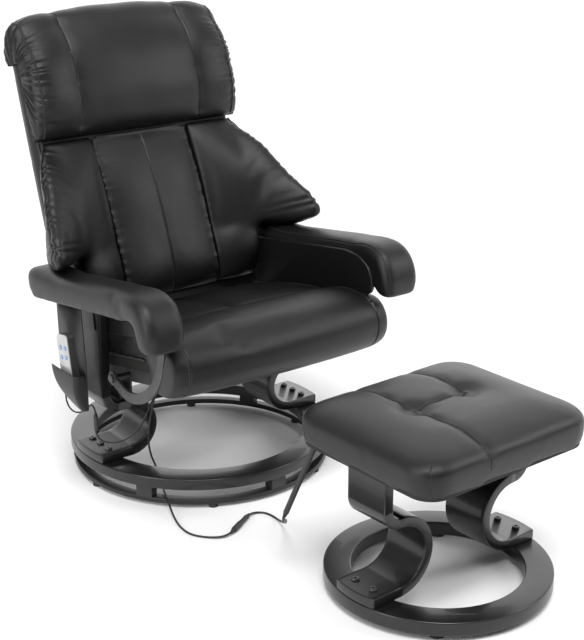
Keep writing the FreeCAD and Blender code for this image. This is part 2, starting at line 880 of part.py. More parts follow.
# Head pillow: wraps over the top of the shell and is drawn in at its seams and ends
def pillow_section(x, inset):
    low = pillow_low_z
    belly = soft_rear_y - pillow_depth + inset
    top = pillow_top_z - inset
    rear = pillow_rear_y - inset
    seat = shell_top_z + soft_gap
    tall = top - low
    lip = soft_rear_y - 0.4 * (pillow_depth - inset)
    roll = seat + pillow_roll_h / 2
    return wire(
        on_x(x),
        (soft_rear_y, low),
        ((lip, low),),
        ((belly + pillow_depth / 8, low + 0.14 * tall), (belly, low + 0.4 * tall)),
        ((belly + pillow_depth / 10, low + 0.66 * tall), (belly + 0.6 * pillow_depth, low + 0.88 * tall)),
        ((soft_rear_y + pillow_depth / 6, top), (rear / 2, top - tall / 20)),
        ((rear - pillow_roll_h / 8, top - tall / 8), (rear, roll)),
        ((rear - pillow_roll_h / 8, seat + pillow_roll_h / 8), (rear / 2, seat)),
        ((soft_rear_y, seat),),
        ((soft_rear_y, low),),
    )


pillow_x_shares = (0.0, 0.4 * pillow_seam_share, pillow_seam_share, 0.5 + pillow_seam_share / 2, 0.95, 1.0)
pillow_insets = (0.0, 0.0, pillow_seam_dip, pillow_seam_dip / 3, 2 * pillow_seam_dip, 4 * pillow_seam_dip)
head_pillow = in_back(crosswise(pillow_section, pillow_x_shares, pillow_insets, pillow_half_w))


# Arms: a padded roll over a board, its nose turned down at the front
def arm_station(forward, lift, pitch, w_share, h_share):
    """Cross-section of the arm pad: a rounded rectangle, fuller at its upper corners."""
    turn = math.radians(pitch)
    up = V(0, -math.sin(turn), math.cos(turn))
    centre = V(arm_x, -forward, lift)
    half_w = arm_half_w * w_share
    half_h = arm_half_h * h_share
    top_r = arm_top_round * min(w_share, h_share)
    low_r = arm_low_round * min(w_share, h_share)
    top_lean = top_r * (1 - math.sqrt(0.5))
    low_lean = low_r * (1 - math.sqrt(0.5))
    return wire(
        lambda a, b: centre + V(a, 0, 0) + up * b,
        (-half_w + low_r, -half_h),
        ((half_w - low_r, -half_h),),
        ((half_w - low_lean, -half_h + low_lean), (half_w, -half_h + low_r)),
        ((half_w, half_h - top_r),),
        ((half_w - top_lean, half_h - top_lean), (half_w - top_r, half_h)),
        ((-half_w + top_r, half_h),),
        ((-half_w + top_lean, half_h - top_lean), (-half_w, half_h - top_r)),
        ((-half_w, -half_h + low_r),),
        ((-half_w + low_lean, -half_h + low_lean), (-half_w + low_r, -half_h)),
    )


arm_lift = arm_rim + arm_half_h
nose_pivot = arm_lift - arm_nose_r


def nose_station(pitch, w_share, h_share):
    turn = math.radians(pitch)
    forward = arm_nose_at + arm_nose_r * math.sin(turn)
    return arm_station(forward, nose_pivot + arm_nose_r * math.cos(turn), pitch, w_share, h_share)


nose_front = arm_nose_at + arm_nose_r
arm_shares = (-0.25, 0.0, 0.25, 0.5, 0.75)
arm_pad_left = loft([
    arm_station(-arm_rear, arm_lift, 0, 0.68, 0.5),
    arm_station(-arm_rear + arm_half_h / 3, arm_lift, 0, 0.88, 0.8),
    arm_station(-arm_rear + arm_half_h, arm_lift, 0, 0.98, 0.97),
    *[arm_station(share * arm_nose_at, arm_lift, 0, 1, 1) for share in arm_shares],
    *[nose_station(pitch, 1, 1) for pitch in (0, 30, 60, 90)],
    arm_station(nose_front, -arm_nose_end + arm_half_h, 90, 0.98, 0.97),
    arm_station(nose_front, -arm_nose_end + arm_half_h / 3, 90, 0.88, 0.8),
    arm_station(nose_front, -arm_nose_end, 90, 0.68, 0.5),
])
board_bed = block(
    arm_board_in_x - soft_gap, arm_board_out_x + pocket_t + 2 * soft_gap,
    -arm_board_front - soft_gap, arm_board_rear + soft_gap, -arm_nose_end, arm_board_t + soft_gap)
arm_skirt_in_x = arm_x - arm_half_w + arm_skirt_inset
arm_skirt = prism(wire(
    on_x(arm_skirt_in_x),
    (-nose_front, arm_lift),
    ((-nose_front, -arm_skirt_front_drop),),
    ((-arm_board_front, -arm_skirt_front_drop),),
    ((arm_skirt_rear, -arm_skirt_rear_drop),),
    ((arm_skirt_rear, arm_lift),),
    ((-nose_front, arm_lift),),
), V(arm_board_in_x - soft_gap - arm_skirt_in_x, 0, 0))
arm_pad_left = in_arm(arm_pad_left.fuse(arm_skirt).cut(board_bed).removeSplitter())
arm_pad_right = mirrored(arm_pad_left)
arm_board_left = in_arm(block(
    arm_board_in_x, arm_board_out_x, -arm_board_front, arm_board_rear, 0, arm_board_t))
bracket_reach = arm_board_out_x - arm_top_round
arm_angle = block(leg_post_out_x, bracket_reach, -arm_bracket_half_y, arm_bracket_half_y,
                  -arm_bracket_drop, 0)
arm_angle_cut = block(leg_post_out_x + arm_bracket_t, bracket_reach + overrun,
                      -arm_bracket_half_y - overrun, arm_bracket_half_y + overrun,
                      -arm_bracket_drop - overrun, -arm_bracket_t)
arm_bracket_left = in_arm(arm_angle.cut(arm_angle_cut))

# Recline lever and the stud that it turns on
stud_y = -stud_forward * seat_cos + cross_n * seat_sin
stud_z = seat_z + stud_forward * seat_sin + cross_n * seat_cos
stud_end = lever_x + lever_t / 2 + slide_gap
stud = rod(stud_r, (-rail_out_x, stud_y, stud_z), (-stud_end, stud_y, stud_z))
stud_head = rod(stud_head_r, (-stud_end, stud_y, stud_z), (-stud_end - stud_head_h, stud_y, stud_z))
lever_stud = stud.fuse(stud_head).removeSplitter()


def lever_bar():
    bends = [(-lever_x, y, z) for y, z in lever_bends]
    bends[0] = (-lever_x, stud_y, stud_z)
    path = rounded_path(bends, "recline_lever")
    start = V(*bends[0])
    along = (V(*bends[1]) - start).normalize()
    side = V(1, 0, 0)
    section = Part.makePolygon([
        start + side * a + side.cross(along) * b
        for a, b in (
            (-lever_t / 2, -lever_w / 2), (lever_t / 2, -lever_w / 2),
            (lever_t / 2, lever_w / 2), (-lever_t / 2, lever_w / 2), (-lever_t / 2, -lever_w / 2))
    ])
    bar = path.makePipeShell([section], True, False)
    hub_in = -lever_x + lever_t / 2
    hub_out = -lever_x - lever_t / 2
    hub = rod(lever_hub_r, (hub_in, stud_y, stud_z), (hub_out, stud_y, stud_z))
    bore = rod(stud_r + running_gap, (hub_in + overrun, stud_y, stud_z), (hub_out - overrun, stud_y, stud_z))
    return bar.fuse(hub).cut(bore).removeSplitter()


recline_lever = lever_bar()


# Side pocket: a back panel from the arm's edge and an open pouch on it
def pocket_top(y):
    return arm_z - y * math.tan(math.radians(arm_tilt)) + pocket_top_drop


def pouch_section(z, front, rear, depth, inset):
    """Plan of the pouch at one height; its outer corners are cut back in arcs."""
    base = pocket_out_x + inset
    face = pocket_out_x - depth + inset
    fore = front + inset
    aft = rear - inset
    corner = depth / 2
    lean = corner * (1 - math.sqrt(0.5))
    return wire(
        on_z(z),
        (base, fore),
        ((face + corner, fore),),
        ((face + lean, fore + lean), (face, fore + corner)),
        ((face, aft - corner),),
        ((face + lean, aft - lean), (face + corner, aft)),
        ((base, aft),),
        ((base, fore),),
    )


pouch_h = pocket_mouth_z - pocket_tip_z
pouch_w = pocket_mouth_rear - pocket_front
pouch_shares = ((0.0, 0.2, 0.35), (0.32, 0.64, 0.82), (0.55, 0.82, 1.0), (1.0, 1.0, 1.0))


def pouch(inset, lift):
    sections = []
    for z_share, w_share, d_share in pouch_shares:
        z = pocket_tip_z + z_share * pouch_h + lift * z_share + 3 * inset * (1 - z_share)
        rear = pocket_front + w_share * pouch_w
        sections.append(pouch_section(z, pocket_front, rear, d_share * pocket_depth, inset))
    return Part.makeLoft(sections, True, True)


panel = prism(wire(
    on_x(pocket_out_x),
    (pocket_top_front, pocket_top(pocket_top_front)),
    ((pocket_top_rear, pocket_top(pocket_top_rear)),),
    ((pocket_mouth_rear, pocket_mouth_z),),
    *[((pocket_front + w * pouch_w, pocket_tip_z + z * pouch_h),) for z, w, _ in reversed(pouch_shares)][1:],
    ((pocket_front, pocket_tip_z),),
    ((pocket_front, pocket_mouth_z),),
    ((pocket_top_front, pocket_top(pocket_top_front)),),
), V(pocket_t, 0, 0))
slot_x = pocket_out_x - slide_gap - handset_t / 2
pocket_slot = block(
    slot_x - pocket_slot_w / 2, slot_x + pocket_slot_w / 2,
    handset_y, pocket_mouth_rear + overrun, pocket_slot_low_z, pocket_mouth_z + overrun)
side_pocket = pouch(0, 0).cut(pouch(pocket_wall, overrun)).cut(pocket_slot)
side_pocket = side_pocket.fuse(panel).removeSplitter()


# Handset, drawn upright with its face towards -X and then leaned back
def in_handset(shape):
    leaned = shape.copy()
    leaned.rotate(V(0, 0, 0), V(1, 0, 0), -handset_tilt)
    leaned.translate(V(pocket_out_x - slide_gap, handset_y, handset_z))
    return leaned


def handset_slab(x0, x1, half_w, low, high, corner):
    slab = block(x0, x1, -half_w, half_w, low, high)
    edges = [e for e in slab.Edges if abs(e.Vertexes[0].X - e.Vertexes[1].X) > running_gap]
    return slab.makeFillet(corner, edges)


half_case = handset_w / 2
case = handset_slab(-handset_t, 0, half_case, 0, handset_len, handset_round)
case_hollow = handset_slab(
    -handset_t - overrun, -handset_back_wall, half_case - handset_wall, handset_wall,
    handset_len - handset_wall, handset_round - handset_wall)
gland = rod(gland_r, (-handset_t / 2, half_case, gland_u), (-handset_t / 2, half_case + gland_len, gland_u))
handset_case = in_handset(case.cut(case_hollow).fuse(gland).removeSplitter())
face = handset_slab(-handset_t - face_t, -handset_t, half_case, 0, handset_len, handset_round)
board_half = half_case - handset_wall - running_gap * 2
circuit_back = -handset_back_wall
circuit = handset_slab(
    circuit_back - circuit_t, circuit_back, board_half - soft_gap, handset_wall + soft_gap,
    handset_len - handset_wall - soft_gap, handset_round - handset_wall)
button_names = ("power_button", "mode_button", "strength_button", "heat_button")
buttons = {}
for index, name in enumerate(button_names):
    row, column = divmod(index, 2)
    w = (column * 2 - 1) * button_pitch_w / 2
    u = button_first_u + row * button_pitch_u
    cap_out = -handset_t - face_t - button_proud
    flange_out = -handset_t + running_gap
    cap = rod(button_r, (flange_out, w, u), (cap_out, w, u))
    flange = rod(button_flange_r, (flange_out + button_flange_t, w, u), (flange_out, w, u))
    stem = rod(button_r / 2, (flange_out + button_flange_t + button_stem, w, u),
               (flange_out + button_flange_t, w, u))
    buttons[name] = in_handset(cap.fuse(flange).fuse(stem).removeSplitter())
    hole = rod(button_r + slide_gap, (0, w, u), (-handset_t - face_t - overrun, w, u))
    face = face.cut(hole)
handset_face = in_handset(face)
handset_board = in_handset(circuit)

# Footstool
stool_ring = washer(stool_ring_out_r, stool_ring_in_r, stool_glide_h, stool_ring_top)
stool_track = (stool_ring_out_r + stool_ring_in_r) / 2
stool_glides = [
    in_stool(Part.makeCylinder(stool_glide_r, stool_glide_h, V(x, y, 0)))
    for _, x, y in around(stool_track, stool_glide_count, stool_glide_first_deg)
]
stool_leg = s_leg(
    stool_ring_top, stool_c_x, stool_c_r, stool_flat, stool_ring_out_r, stool_board_z, stool_leg_w)
stool_foot_round = washer(
    stool_ring_out_r + stool_leg_w, stool_ring_out_r - slide_gap,
    stool_ring_top - overrun, stool_ring_top + leg_t + overrun)
stool_leg = stool_leg.cut(stool_foot_round)
stool_bolts = []
for step in (-1, 1):
    place = (stool_bolt_x, step * stool_bolt_pitch, stool_ring_top + leg_t)
    stool_leg = stool_leg.cut(bolt_hole(*place, leg_t + overrun))
    for side in (-1, 1):
        spot = (side * place[0], place[1], place[2])
        stool_bolts.append(in_stool(bolt(*spot, leg_t + bolt_grip)))
        stool_ring = stool_ring.cut(bolt_hole(*spot, leg_t + bolt_grip))
stool_legs = [in_stool(stool_leg), in_stool(mirrored(stool_leg))]

stool_post_in_x = stool_c_x + stool_flat + leg_fillet_r
stool_angle = block(
    stool_post_in_x - stool_bracket_reach, stool_post_in_x, -stool_bracket_half_y, stool_bracket_half_y,
    stool_board_z - stool_bracket_h, stool_board_z)
stool_angle_cut = block(
    stool_post_in_x - stool_bracket_reach - overrun, stool_post_in_x - stool_bracket_t,
    -stool_bracket_half_y - overrun, stool_bracket_half_y + overrun,
    stool_board_z - stool_bracket_h - overrun, stool_board_z - stool_bracket_t)
stool_bracket = stool_angle.cut(stool_angle_cut)
stool_brackets = [in_stool(stool_bracket), in_stool(mirrored(stool_bracket))]


def stool_outline(z, inset, round_share):
    return rounded_outline(
        V(0, 0, z), V(1, 0, 0), V(0, 1, 0), stool_half_x - inset, stool_half_y - inset,
        stool_round * round_share)


stool_board = prism(rounded_outline(
    V(0, 0, stool_board_z), V(1, 0, 0), V(0, 1, 0),
    stool_board_half_x, stool_board_half_y, stool_board_round), V(0, 0, stool_board_t))
crown_base = stool_board_top + soft_gap
crown_z_shares = (0.0, 0.17, 0.42, 0.66, 0.84, 0.95, 1.0)
crown_in_shares = (0.08, 0.015, 0.0, 0.03, 0.13, 0.33, 0.62)
crown_round_shares = (0.8, 0.95, 1.0, 0.98, 0.9, 0.7, 0.4)
stool_cushion = loft([
    stool_outline(crown_base + z * stool_crown_h, inset * stool_half_y, turn)
    for z, inset, turn in zip(crown_z_shares, crown_in_shares, crown_round_shares)
])
crown_top = crown_base + stool_crown_h


def seam_groove(start, end):
    """A sewn seam pulled into the top: a long prism of triangular section."""
    run = V(end[0] - start[0], end[1] - start[1], 0)
    side = V(-run.y, run.x, 0).normalize() * (seam_w / 2)
    foot = V(start[0], start[1], crown_top - seam_depth)
    rise = V(0, 0, seam_depth + overrun)
    spread = (seam_depth + overrun) / seam_depth
    section = Part.makePolygon([foot, foot + rise + side * spread, foot + rise - side * spread, foot])
    return Part.Face(section).extrude(run)


for side in (-1, 1):
    tuft = Part.makeCone(
        0, tuft_r * (tuft_depth + overrun) / tuft_depth, tuft_depth + overrun,
        V(side * tuft_x, tuft_y, crown_top - tuft_depth))
    stool_cushion = stool_cushion.cut(tuft)
seam_end = stool_half_y * crown_z_shares[3]
for start, end in (
    ((-tuft_x, tuft_y), (tuft_x, tuft_y)),
    ((-tuft_x, -seam_end), (-tuft_x, seam_end)),
    ((tuft_x, tuft_y), (tuft_x, seam_end)),
):
    stool_cushion = stool_cushion.cut(seam_groove(start, end))
stool_motors = []
for side in (-1, 1):
    at = V(side * tuft_x, stool_motor_y, stool_board_top)
    stool_motors.append(in_stool(Part.makeCylinder(motor_r, motor_h, at)))
    stool_cushion = stool_cushion.cut(Part.makeCylinder(motor_r + motor_gap, motor_h + motor_gap, at))

# Leads, by points chosen along their routes: near the base they are shares of its ring,
# near the handset they count from the right arm and near the footstool from its axis
def by_ring(rows):
    return [(x_share * ring_out_r, y_share * ring_out_r, z) for x_share, y_share, z in rows]


def by_arm(rows):
    return [(x - arm_x, y, z + arm_z) for x, y, z in rows]


def by_stool(rows):
    return [(x + stool_at[0], y + stool_at[1], z) for x, y, z in rows]


stool_lead_upper_shares = (
    (-0.28866, -0.08935, 270), (-0.38488, -0.12027, 254), (-0.47423, -0.17182, 222),
    (-0.54983, -0.21993, 184), (-0.60825, -0.25086, 142), (-0.63574, -0.26804, 104),
    (-0.62199, -0.27491, 73), (-0.59107, -0.27148, 50))
stool_lead_floor_shares = (
    (-0.59107, -0.27148, 50), (-0.56976, -0.26907, 34.2), (-0.57216, -0.31271, 21),
    (-0.61856, -0.41924, 23), (-0.68041, -0.53608, 26), (-0.72852, -0.65292, 25),
    (-0.76289, -0.76289, 14), (-0.79381, -0.87285, 3.4), (-0.82474, -0.99656, 2.4),
    (-0.82474, -1.11684, 2.4), (-0.76289, -1.21306, 2.4), (-0.68729, -1.28179, 4),
    (-0.61821, -1.29622, 6.3), (-0.55326, -1.25773, 6.3))
connector_shares = (
    (-0.55326, -1.25773, 6.3), (-0.38488, -1.15808, 6.3))
stool_lead_rise_shares = (
    (-0.38488, -1.15808, 6.3), (-0.33471, -1.12818, 6.3), (-0.26460, -1.11684, 3),
    (-0.21306, -1.16151, 2.4), (-0.20275, -1.23711, 2.4), (-0.21649, -1.32646, 5),
    (-0.26117, -1.44330, 18), (-0.34364, -1.58076, 42), (-0.44674, -1.72509, 72))
sleeve_foot = (
    (-195, 220, 100), (-213, 204, 106), (-221.2, 192.7, 119.4), (-219.05, 186.15, 135.63))
sleeve_ends = by_stool((
    (-219, 186, 136), (-199, 124, 290)))
handset_lead_hang = (
    (-38.6, 7.99, -156.47), (-38.6, 19.4, -158.5), (-37, 36, -154), (-31, 49, -158), (-23, 54, -171),
    (-19, 50, -190), (-17, 48, -208), (-15.5, 52, -224), (-13, 54, -240), (-9, 47, -255), (-3, 32, -260),
    (2.5, 12, -252), (7, -6, -236), (7, -14.5, -227.5), (7, -26.5, -227.5), (7, -35, -236),
    (7, -35, -248))
handset_plug_ends = by_arm((
    (7, -35, -248), (7, -35, -278)))
handset_lead_drop = (
    (7, -35, -278), (7, -35, -290), (14, -40, -304), (31, -50, -310), (49, -66, -306))
handset_lead_under_shares = (
    (-0.76976, -0.27491, 128), (-0.71134, -0.30584, 150), (-0.65979, -0.31615, 178),
    (-0.59794, -0.30241, 205), (-0.52234, -0.27148, 228), (-0.43299, -0.23711, 246),
    (-0.34708, -0.20619, 259), (-0.28179, -0.19931, 266))
box_side_exits = ((-box_half_w, -26, 270), (-box_half_w, -58, 266))
connector_ends = by_ring(connector_shares)
stool_lead_upper_route = [box_side_exits[0]] + by_ring(stool_lead_upper_shares)
stool_lead_floor_route = by_ring(stool_lead_floor_shares)
stool_lead_rise_route = by_ring(stool_lead_rise_shares) + by_stool(sleeve_foot)
handset_lead_route = by_arm(handset_lead_hang)
handset_lead_lower_route = (
    by_arm(handset_lead_drop) + by_ring(handset_lead_under_shares) + [box_side_exits[1]])


def connector():
    """The two halves of the inline connector, end to end."""
    start, end = (V(*p) for p in connector_ends)
    middle = (start + end) / 2
    return rod(plug_r, start, middle), rod(plug_step_r, middle, end)


def below(shape, z):
    return shape.cut(block(-ring_out_r, ring_out_r, -2 * floor_ring_out_r - ring_out_r, 0, z, z + leg_w))


sleeve_axis = (V(*sleeve_ends[1]) - V(*sleeve_ends[0])).normalize()
lead_sleeve = below(rod(sleeve_r, sleeve_ends[0], V(*sleeve_ends[1]) + sleeve_axis * overrun),
                    stool_board_z)

# Every node, one file each
export("floor_ring", floor_ring)
export("floor_glides", *glides)
export("swivel_blocks", *blocks)
export("stool_lead_floor", lead(stool_lead_floor_route, stool_lead_r, "stool_lead_floor"))
export("lead_connector", *connector())
export("stool_lead_rise", lead(stool_lead_rise_route, stool_lead_r, "stool_lead_rise"))

export("swivel_ring", swivel_ring)
export("leg_right", leg_right)
export("leg_left", leg_left)
export("frame_bolts", *leg_bolts, *bracket_bolts)
export("seat_brackets", bracket, mirrored(bracket))
export("seat_rails", rail, mirrored(rail))
export("cross_tubes", cross_tube(-cross_front, rail_in_x), cross_tube(cross_rear, plate_in_x))
export("hinge_plates", *plates_left, *[mirrored(plate) for plate in plates_left])
export("hinge_pins", pin_left, mirrored(pin_left))
export("lock_pads", *lock_pads)
export("seat_frame", front_batten, rear_batten, side_batten, mirrored(side_batten))
export("seat_board", seat_board)
export("seat_cushion", seat_cushion)
export("seat_motors", *seat_motors)
export("arm_board_right", mirrored(arm_board_left))
export("arm_board_left", arm_board_left)
export("arm_brackets", arm_bracket_left, mirrored(arm_bracket_left))
export("arm_pad_right", arm_pad_right)
export("arm_pad_left", arm_pad_left)
export("control_box", control_box)
export("power_inlet", power_inlet)
export("side_pocket", side_pocket)
export("lever_stud", lever_stud)
export("stool_lead_upper", lead(stool_lead_upper_route, stool_lead_r, "stool_lead_upper"))
export("handset_lead_lower", lead(handset_lead_lower_route, handset_lead_r, "handset_lead_lower"))
export("handset_plug", rod(handset_plug_r, *handset_plug_ends))

export("back_frame", back_frame)
export("back_board", back_board)
export("back_shell", back_shell)
export("back_cushion", back_cushion)
export("back_motors", *back_motors)
export("wing_right", wing_right)
export("wing_left", wing_left)
export("head_pillow", head_pillow)

export("recline_lever", recline_lever)

export("handset_case", handset_case)
export("handset_face", handset_face)
export("handset_board", handset_board)
for name, cap in buttons.items():
    export(name, cap)
export("handset_lead", lead(handset_lead_route, handset_lead_r, "handset_lead"))

export("stool_ring", in_stool(stool_ring))
export("stool_glides", *stool_glides)
export("stool_legs", *stool_legs)
export("stool_bolts", *stool_bolts)
export("stool_brackets", *stool_brackets)
export("stool_board", in_stool(stool_board))
export("stool_cushion", in_stool(stool_cushion))
export("stool_motors", *stool_motors)
export("lead_sleeve", lead_sleeve)
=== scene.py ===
# %% [markdown]
# # A massage recliner and its footstool
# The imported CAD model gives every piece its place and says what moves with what. This script
# loads it, keeps the rigid pieces whose shape is right, and models the padded leather, the bent
# wood and the leads again as a maker would.

import json
import math

import bmesh
import bpy
from bmesh.types import BMEdge, BMFace, BMVert
from mathutils import Matrix, Vector
from mathutils.bvhtree import BVHTree


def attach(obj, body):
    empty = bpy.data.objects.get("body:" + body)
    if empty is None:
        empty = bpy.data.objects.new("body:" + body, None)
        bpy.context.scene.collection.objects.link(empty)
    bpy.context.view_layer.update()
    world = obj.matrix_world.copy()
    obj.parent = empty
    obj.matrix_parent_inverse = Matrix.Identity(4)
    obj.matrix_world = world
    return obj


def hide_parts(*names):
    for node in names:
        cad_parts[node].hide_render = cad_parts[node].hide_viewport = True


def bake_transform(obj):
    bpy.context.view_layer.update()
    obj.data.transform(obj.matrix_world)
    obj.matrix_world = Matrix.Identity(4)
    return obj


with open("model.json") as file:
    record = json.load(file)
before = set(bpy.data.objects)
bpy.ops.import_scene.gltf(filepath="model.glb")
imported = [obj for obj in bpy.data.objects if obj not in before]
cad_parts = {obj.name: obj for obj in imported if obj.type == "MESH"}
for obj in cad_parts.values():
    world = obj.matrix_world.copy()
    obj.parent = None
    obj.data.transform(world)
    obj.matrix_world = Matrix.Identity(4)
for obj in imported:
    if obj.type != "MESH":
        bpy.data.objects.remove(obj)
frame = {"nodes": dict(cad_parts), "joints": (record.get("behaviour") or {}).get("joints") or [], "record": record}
nodes = frame["nodes"]
scene = bpy.context.scene
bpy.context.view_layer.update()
body_of = {node: body for body, names in frame["record"]["behaviour"]["bodies"].items() for node in names}


def object_of(name, data):
    """A new object in the scene, at the origin."""
    thing = bpy.data.objects.new(name, data)
    scene.collection.objects.link(thing)
    return thing


def mesh_of(name, drawing):
    """A finished drawing as a mesh."""
    mesh = bpy.data.meshes.new(name)
    drawing.to_mesh(mesh)
    drawing.free()
    return mesh


# %% [markdown]
# ## Where things are
# A chair is easier to draw piece by piece, each in its own level frame: the seat, the arms and the
# back lean by their own angles, and the footstool stands a little askew. Each frame here is a
# matrix from that piece's own directions to the part's.

# %% Frames of the chair's pieces
swivel_point = next(joint["pos_m"] for joint in frame["joints"] if joint["name"] == "swivel")
recline_point = next(joint["pos_m"] for joint in frame["joints"] if joint["name"] == "recline")
chair = Matrix.Translation(swivel_point)


def leaning(degrees, point):
    return Matrix.Translation(point) @ Matrix.Rotation(math.radians(-degrees), 4, "X")


seat = leaning(11.25, chair @ Vector((0, 0, 0.270)))
arm = leaning(8, chair @ Vector((0, 0, 0.420)))
back = leaning(18, recline_point)
stool = chair @ Matrix.Translation((0.037, -0.758, 0)) @ Matrix.Rotation(math.radians(2.8), 4, "Z")
print("recline hinge at", [round(v, 4) for v in recline_point])

# %% [markdown]
# ## Camera
# The camera was found from the two base rings, whose ellipses fix its height, tilt and distance.
# Its lens is long, so the chair's far side is hardly smaller than its near one.

# %% Camera
view_azimuth, view_elevation = math.radians(-36.5944), math.radians(19.5529)
view_distance = 2.2894
view_target = chair @ Vector((-0.3609, -0.8316, 0.6312))
across = Vector((math.cos(view_azimuth), math.sin(view_azimuth), 0))
towards = Vector((
    math.sin(view_azimuth) * math.cos(view_elevation),
    -math.cos(view_azimuth) * math.cos(view_elevation),
    math.sin(view_elevation)))
upwards = towards.cross(across)
camera = object_of("photo_camera", bpy.data.cameras.new("photo_camera"))
camera.matrix_world = Matrix((across, upwards, towards)).transposed().to_4x4()
camera.matrix_world.translation = view_target + towards * view_distance
sensor_mm, focal_px, picture_px = 36, 1464.672, 640
camera.data.sensor_width = sensor_mm
camera.data.lens = focal_px * sensor_mm / picture_px
scene.camera = camera
print("camera at", [round(v, 3) for v in camera.matrix_world.translation])

# %% [markdown]
# ## Shader nodes
# Three small helpers place nodes, make a shared effect as a node group, and set such a group to work.

# %% Node helpers
def add(tree, kind, links=None, **settings):
    """One shader node; links gives its inputs a socket to read or a plain value."""
    node = tree.nodes.new("ShaderNode" + kind)
    for key, value in settings.items():
        setattr(node, key, value)
    for key, value in (links or {}).items():
        if isinstance(value, bpy.types.NodeSocket):
            tree.links.new(value, node.inputs[key])
        else:
            node.inputs[key].default_value = value
    return node


def effect_group(name, inputs, outputs):
    group = bpy.data.node_groups.new(name, "ShaderNodeTree")
    for label, value in inputs.items():
        socket = group.interface.new_socket(label, in_out="INPUT", socket_type="NodeSocketFloat")
        socket.default_value = value
    for label in outputs:
        group.interface.new_socket(label, in_out="OUTPUT", socket_type="NodeSocketFloat")
    return group, group.nodes.new("NodeGroupInput").outputs, group.nodes.new("NodeGroupOutput").inputs


def place_group(tree, group, values):
    node = add(tree, "Group", node_tree=group)
    for label, value in values.items():
        node.inputs[label].default_value = value
    return node.outputs


# %% [markdown]
# ## Studio light
# Black leather shows mostly what it mirrors. An even white surround would turn it flat grey, so
# the surround glows overhead and behind the chair, as a lit white backdrop does, and is dim on the
# near side. What the camera sees past the floor is plain white. A wide sun keeps the whole floor
# white without hard shadows, and two soft banks fill the sides.

# %% Lamps and surround
world = bpy.data.worlds.new("studio")
world.use_nodes = True
tree = world.node_tree
direction = add(tree, "TexCoord").outputs["Generated"]
upward = add(tree, "SeparateXYZ", {0: direction}).outputs["Z"]
backdrop_side = (0.595, 0.803, 0.0)
behind = add(tree, "VectorMath", {0: direction, 1: backdrop_side}, operation="DOT_PRODUCT").outputs["Value"]


def fade(value, start, bright):
    return add(tree, "MapRange", {"Value": value, "From Min": start, "From Max": 0.85, "To Min": 0.02,
                                  "To Max": bright}).outputs["Result"]


def brighter(one, other):
    return add(tree, "Math", {0: one, 1: other}, operation="MAXIMUM").outputs[0]


glow = brighter(fade(upward, 0.05, 0.42), fade(behind, 0.0, 1.7))
strength = brighter(glow, add(tree, "LightPath").outputs["Is Camera Ray"])
tree.links.new(strength, tree.nodes["Background"].inputs["Strength"])
tree.nodes["Background"].inputs["Color"].default_value = (1, 1, 1, 1)
scene.world = world
scene.view_settings.view_transform = "Standard"


def set_lamp(name, kind, place, aim, power):
    lamp = bpy.data.lights.new(name, kind)
    lamp.energy = power
    holder = object_of(name, lamp)
    holder.location = place
    holder.rotation_euler = (Vector(aim) - Vector(place)).to_track_quat("-Z", "Y").to_euler()
    return lamp


wide_sun = set_lamp("wide_sun", "SUN", (-1.0, -1.4, 4.0), (0, 0, 0.4), 2.2)
wide_sun.angle = math.radians(28)
for name, place, aim, size, power in (
        ("left_bank", (-3.0, -0.4, 1.7), (0, 0.2, 0.6), (1.0, 2.2), 50),
        ("right_bank", (2.5, -2.3, 2.3), (0, 0.2, 0.7), (1.5, 1.5), 48)):
    bank = set_lamp(name, "AREA", place, aim, power)
    bank.shape = "RECTANGLE"
    bank.size, bank.size_y = size
print("one wide sun and two banks of soft light")

# %% [markdown]
# ## Finishes
# Three effects recur, so each is a node group: the pebbled grain of the leather, the rubbed look
# of edges, and the fine tooth of moulded or painted surfaces. The groups give heights and masks;
# each finish keeps its own shader.

# %% Leather grain
grain_group, given, out = effect_group("leather_grain", {"Cells": 620.0}, ("Height", "Mottle"))
place = add(grain_group, "TexCoord").outputs["Object"]
warp = add(grain_group, "TexNoise", {"Vector": place, "Scale": 90.0, "Detail": 2.0})
shifted = add(grain_group, "MixRGB", {"Fac": 0.004, "Color1": place, "Color2": warp.outputs["Color"]},
              blend_type="ADD")
cells = add(grain_group, "TexVoronoi", {"Vector": shifted.outputs["Color"], "Scale": given["Cells"]},
            feature="DISTANCE_TO_EDGE")
pebble = add(grain_group, "MapRange", {"Value": cells.outputs["Distance"], "From Max": 0.16})
skin = add(grain_group, "TexNoise", {"Vector": place, "Scale": 75.0, "Detail": 4.0, "Roughness": 0.6})
height = add(grain_group, "Math", {0: skin.outputs["Fac"], 1: 0.8, 2: pebble.outputs["Result"]},
             operation="MULTIPLY_ADD")
mottle = add(grain_group, "TexNoise", {"Vector": place, "Scale": 7.0, "Detail": 3.0})
grain_group.links.new(height.outputs[0], out["Height"])
grain_group.links.new(mottle.outputs["Fac"], out["Mottle"])
print("leather grain group of", len(grain_group.nodes), "nodes")

# %% Rubbed edges and fine tooth
rub_group, given, out = effect_group("rubbed_edges", {"From": 0.53, "To": 0.62}, ("Rub",))
place = add(rub_group, "TexCoord").outputs["Object"]
patchy = add(rub_group, "TexNoise", {"Vector": place, "Scale": 40.0, "Detail": 4.0})
bend = add(rub_group, "NewGeometry").outputs["Pointiness"]
edge = add(rub_group, "MapRange", {"Value": bend, "From Min": given["From"], "From Max": given["To"]})
rub = add(rub_group, "Math", {0: edge.outputs["Result"], 1: patchy.outputs["Fac"]}, operation="MULTIPLY")
rub_group.links.new(rub.outputs[0], out["Rub"])

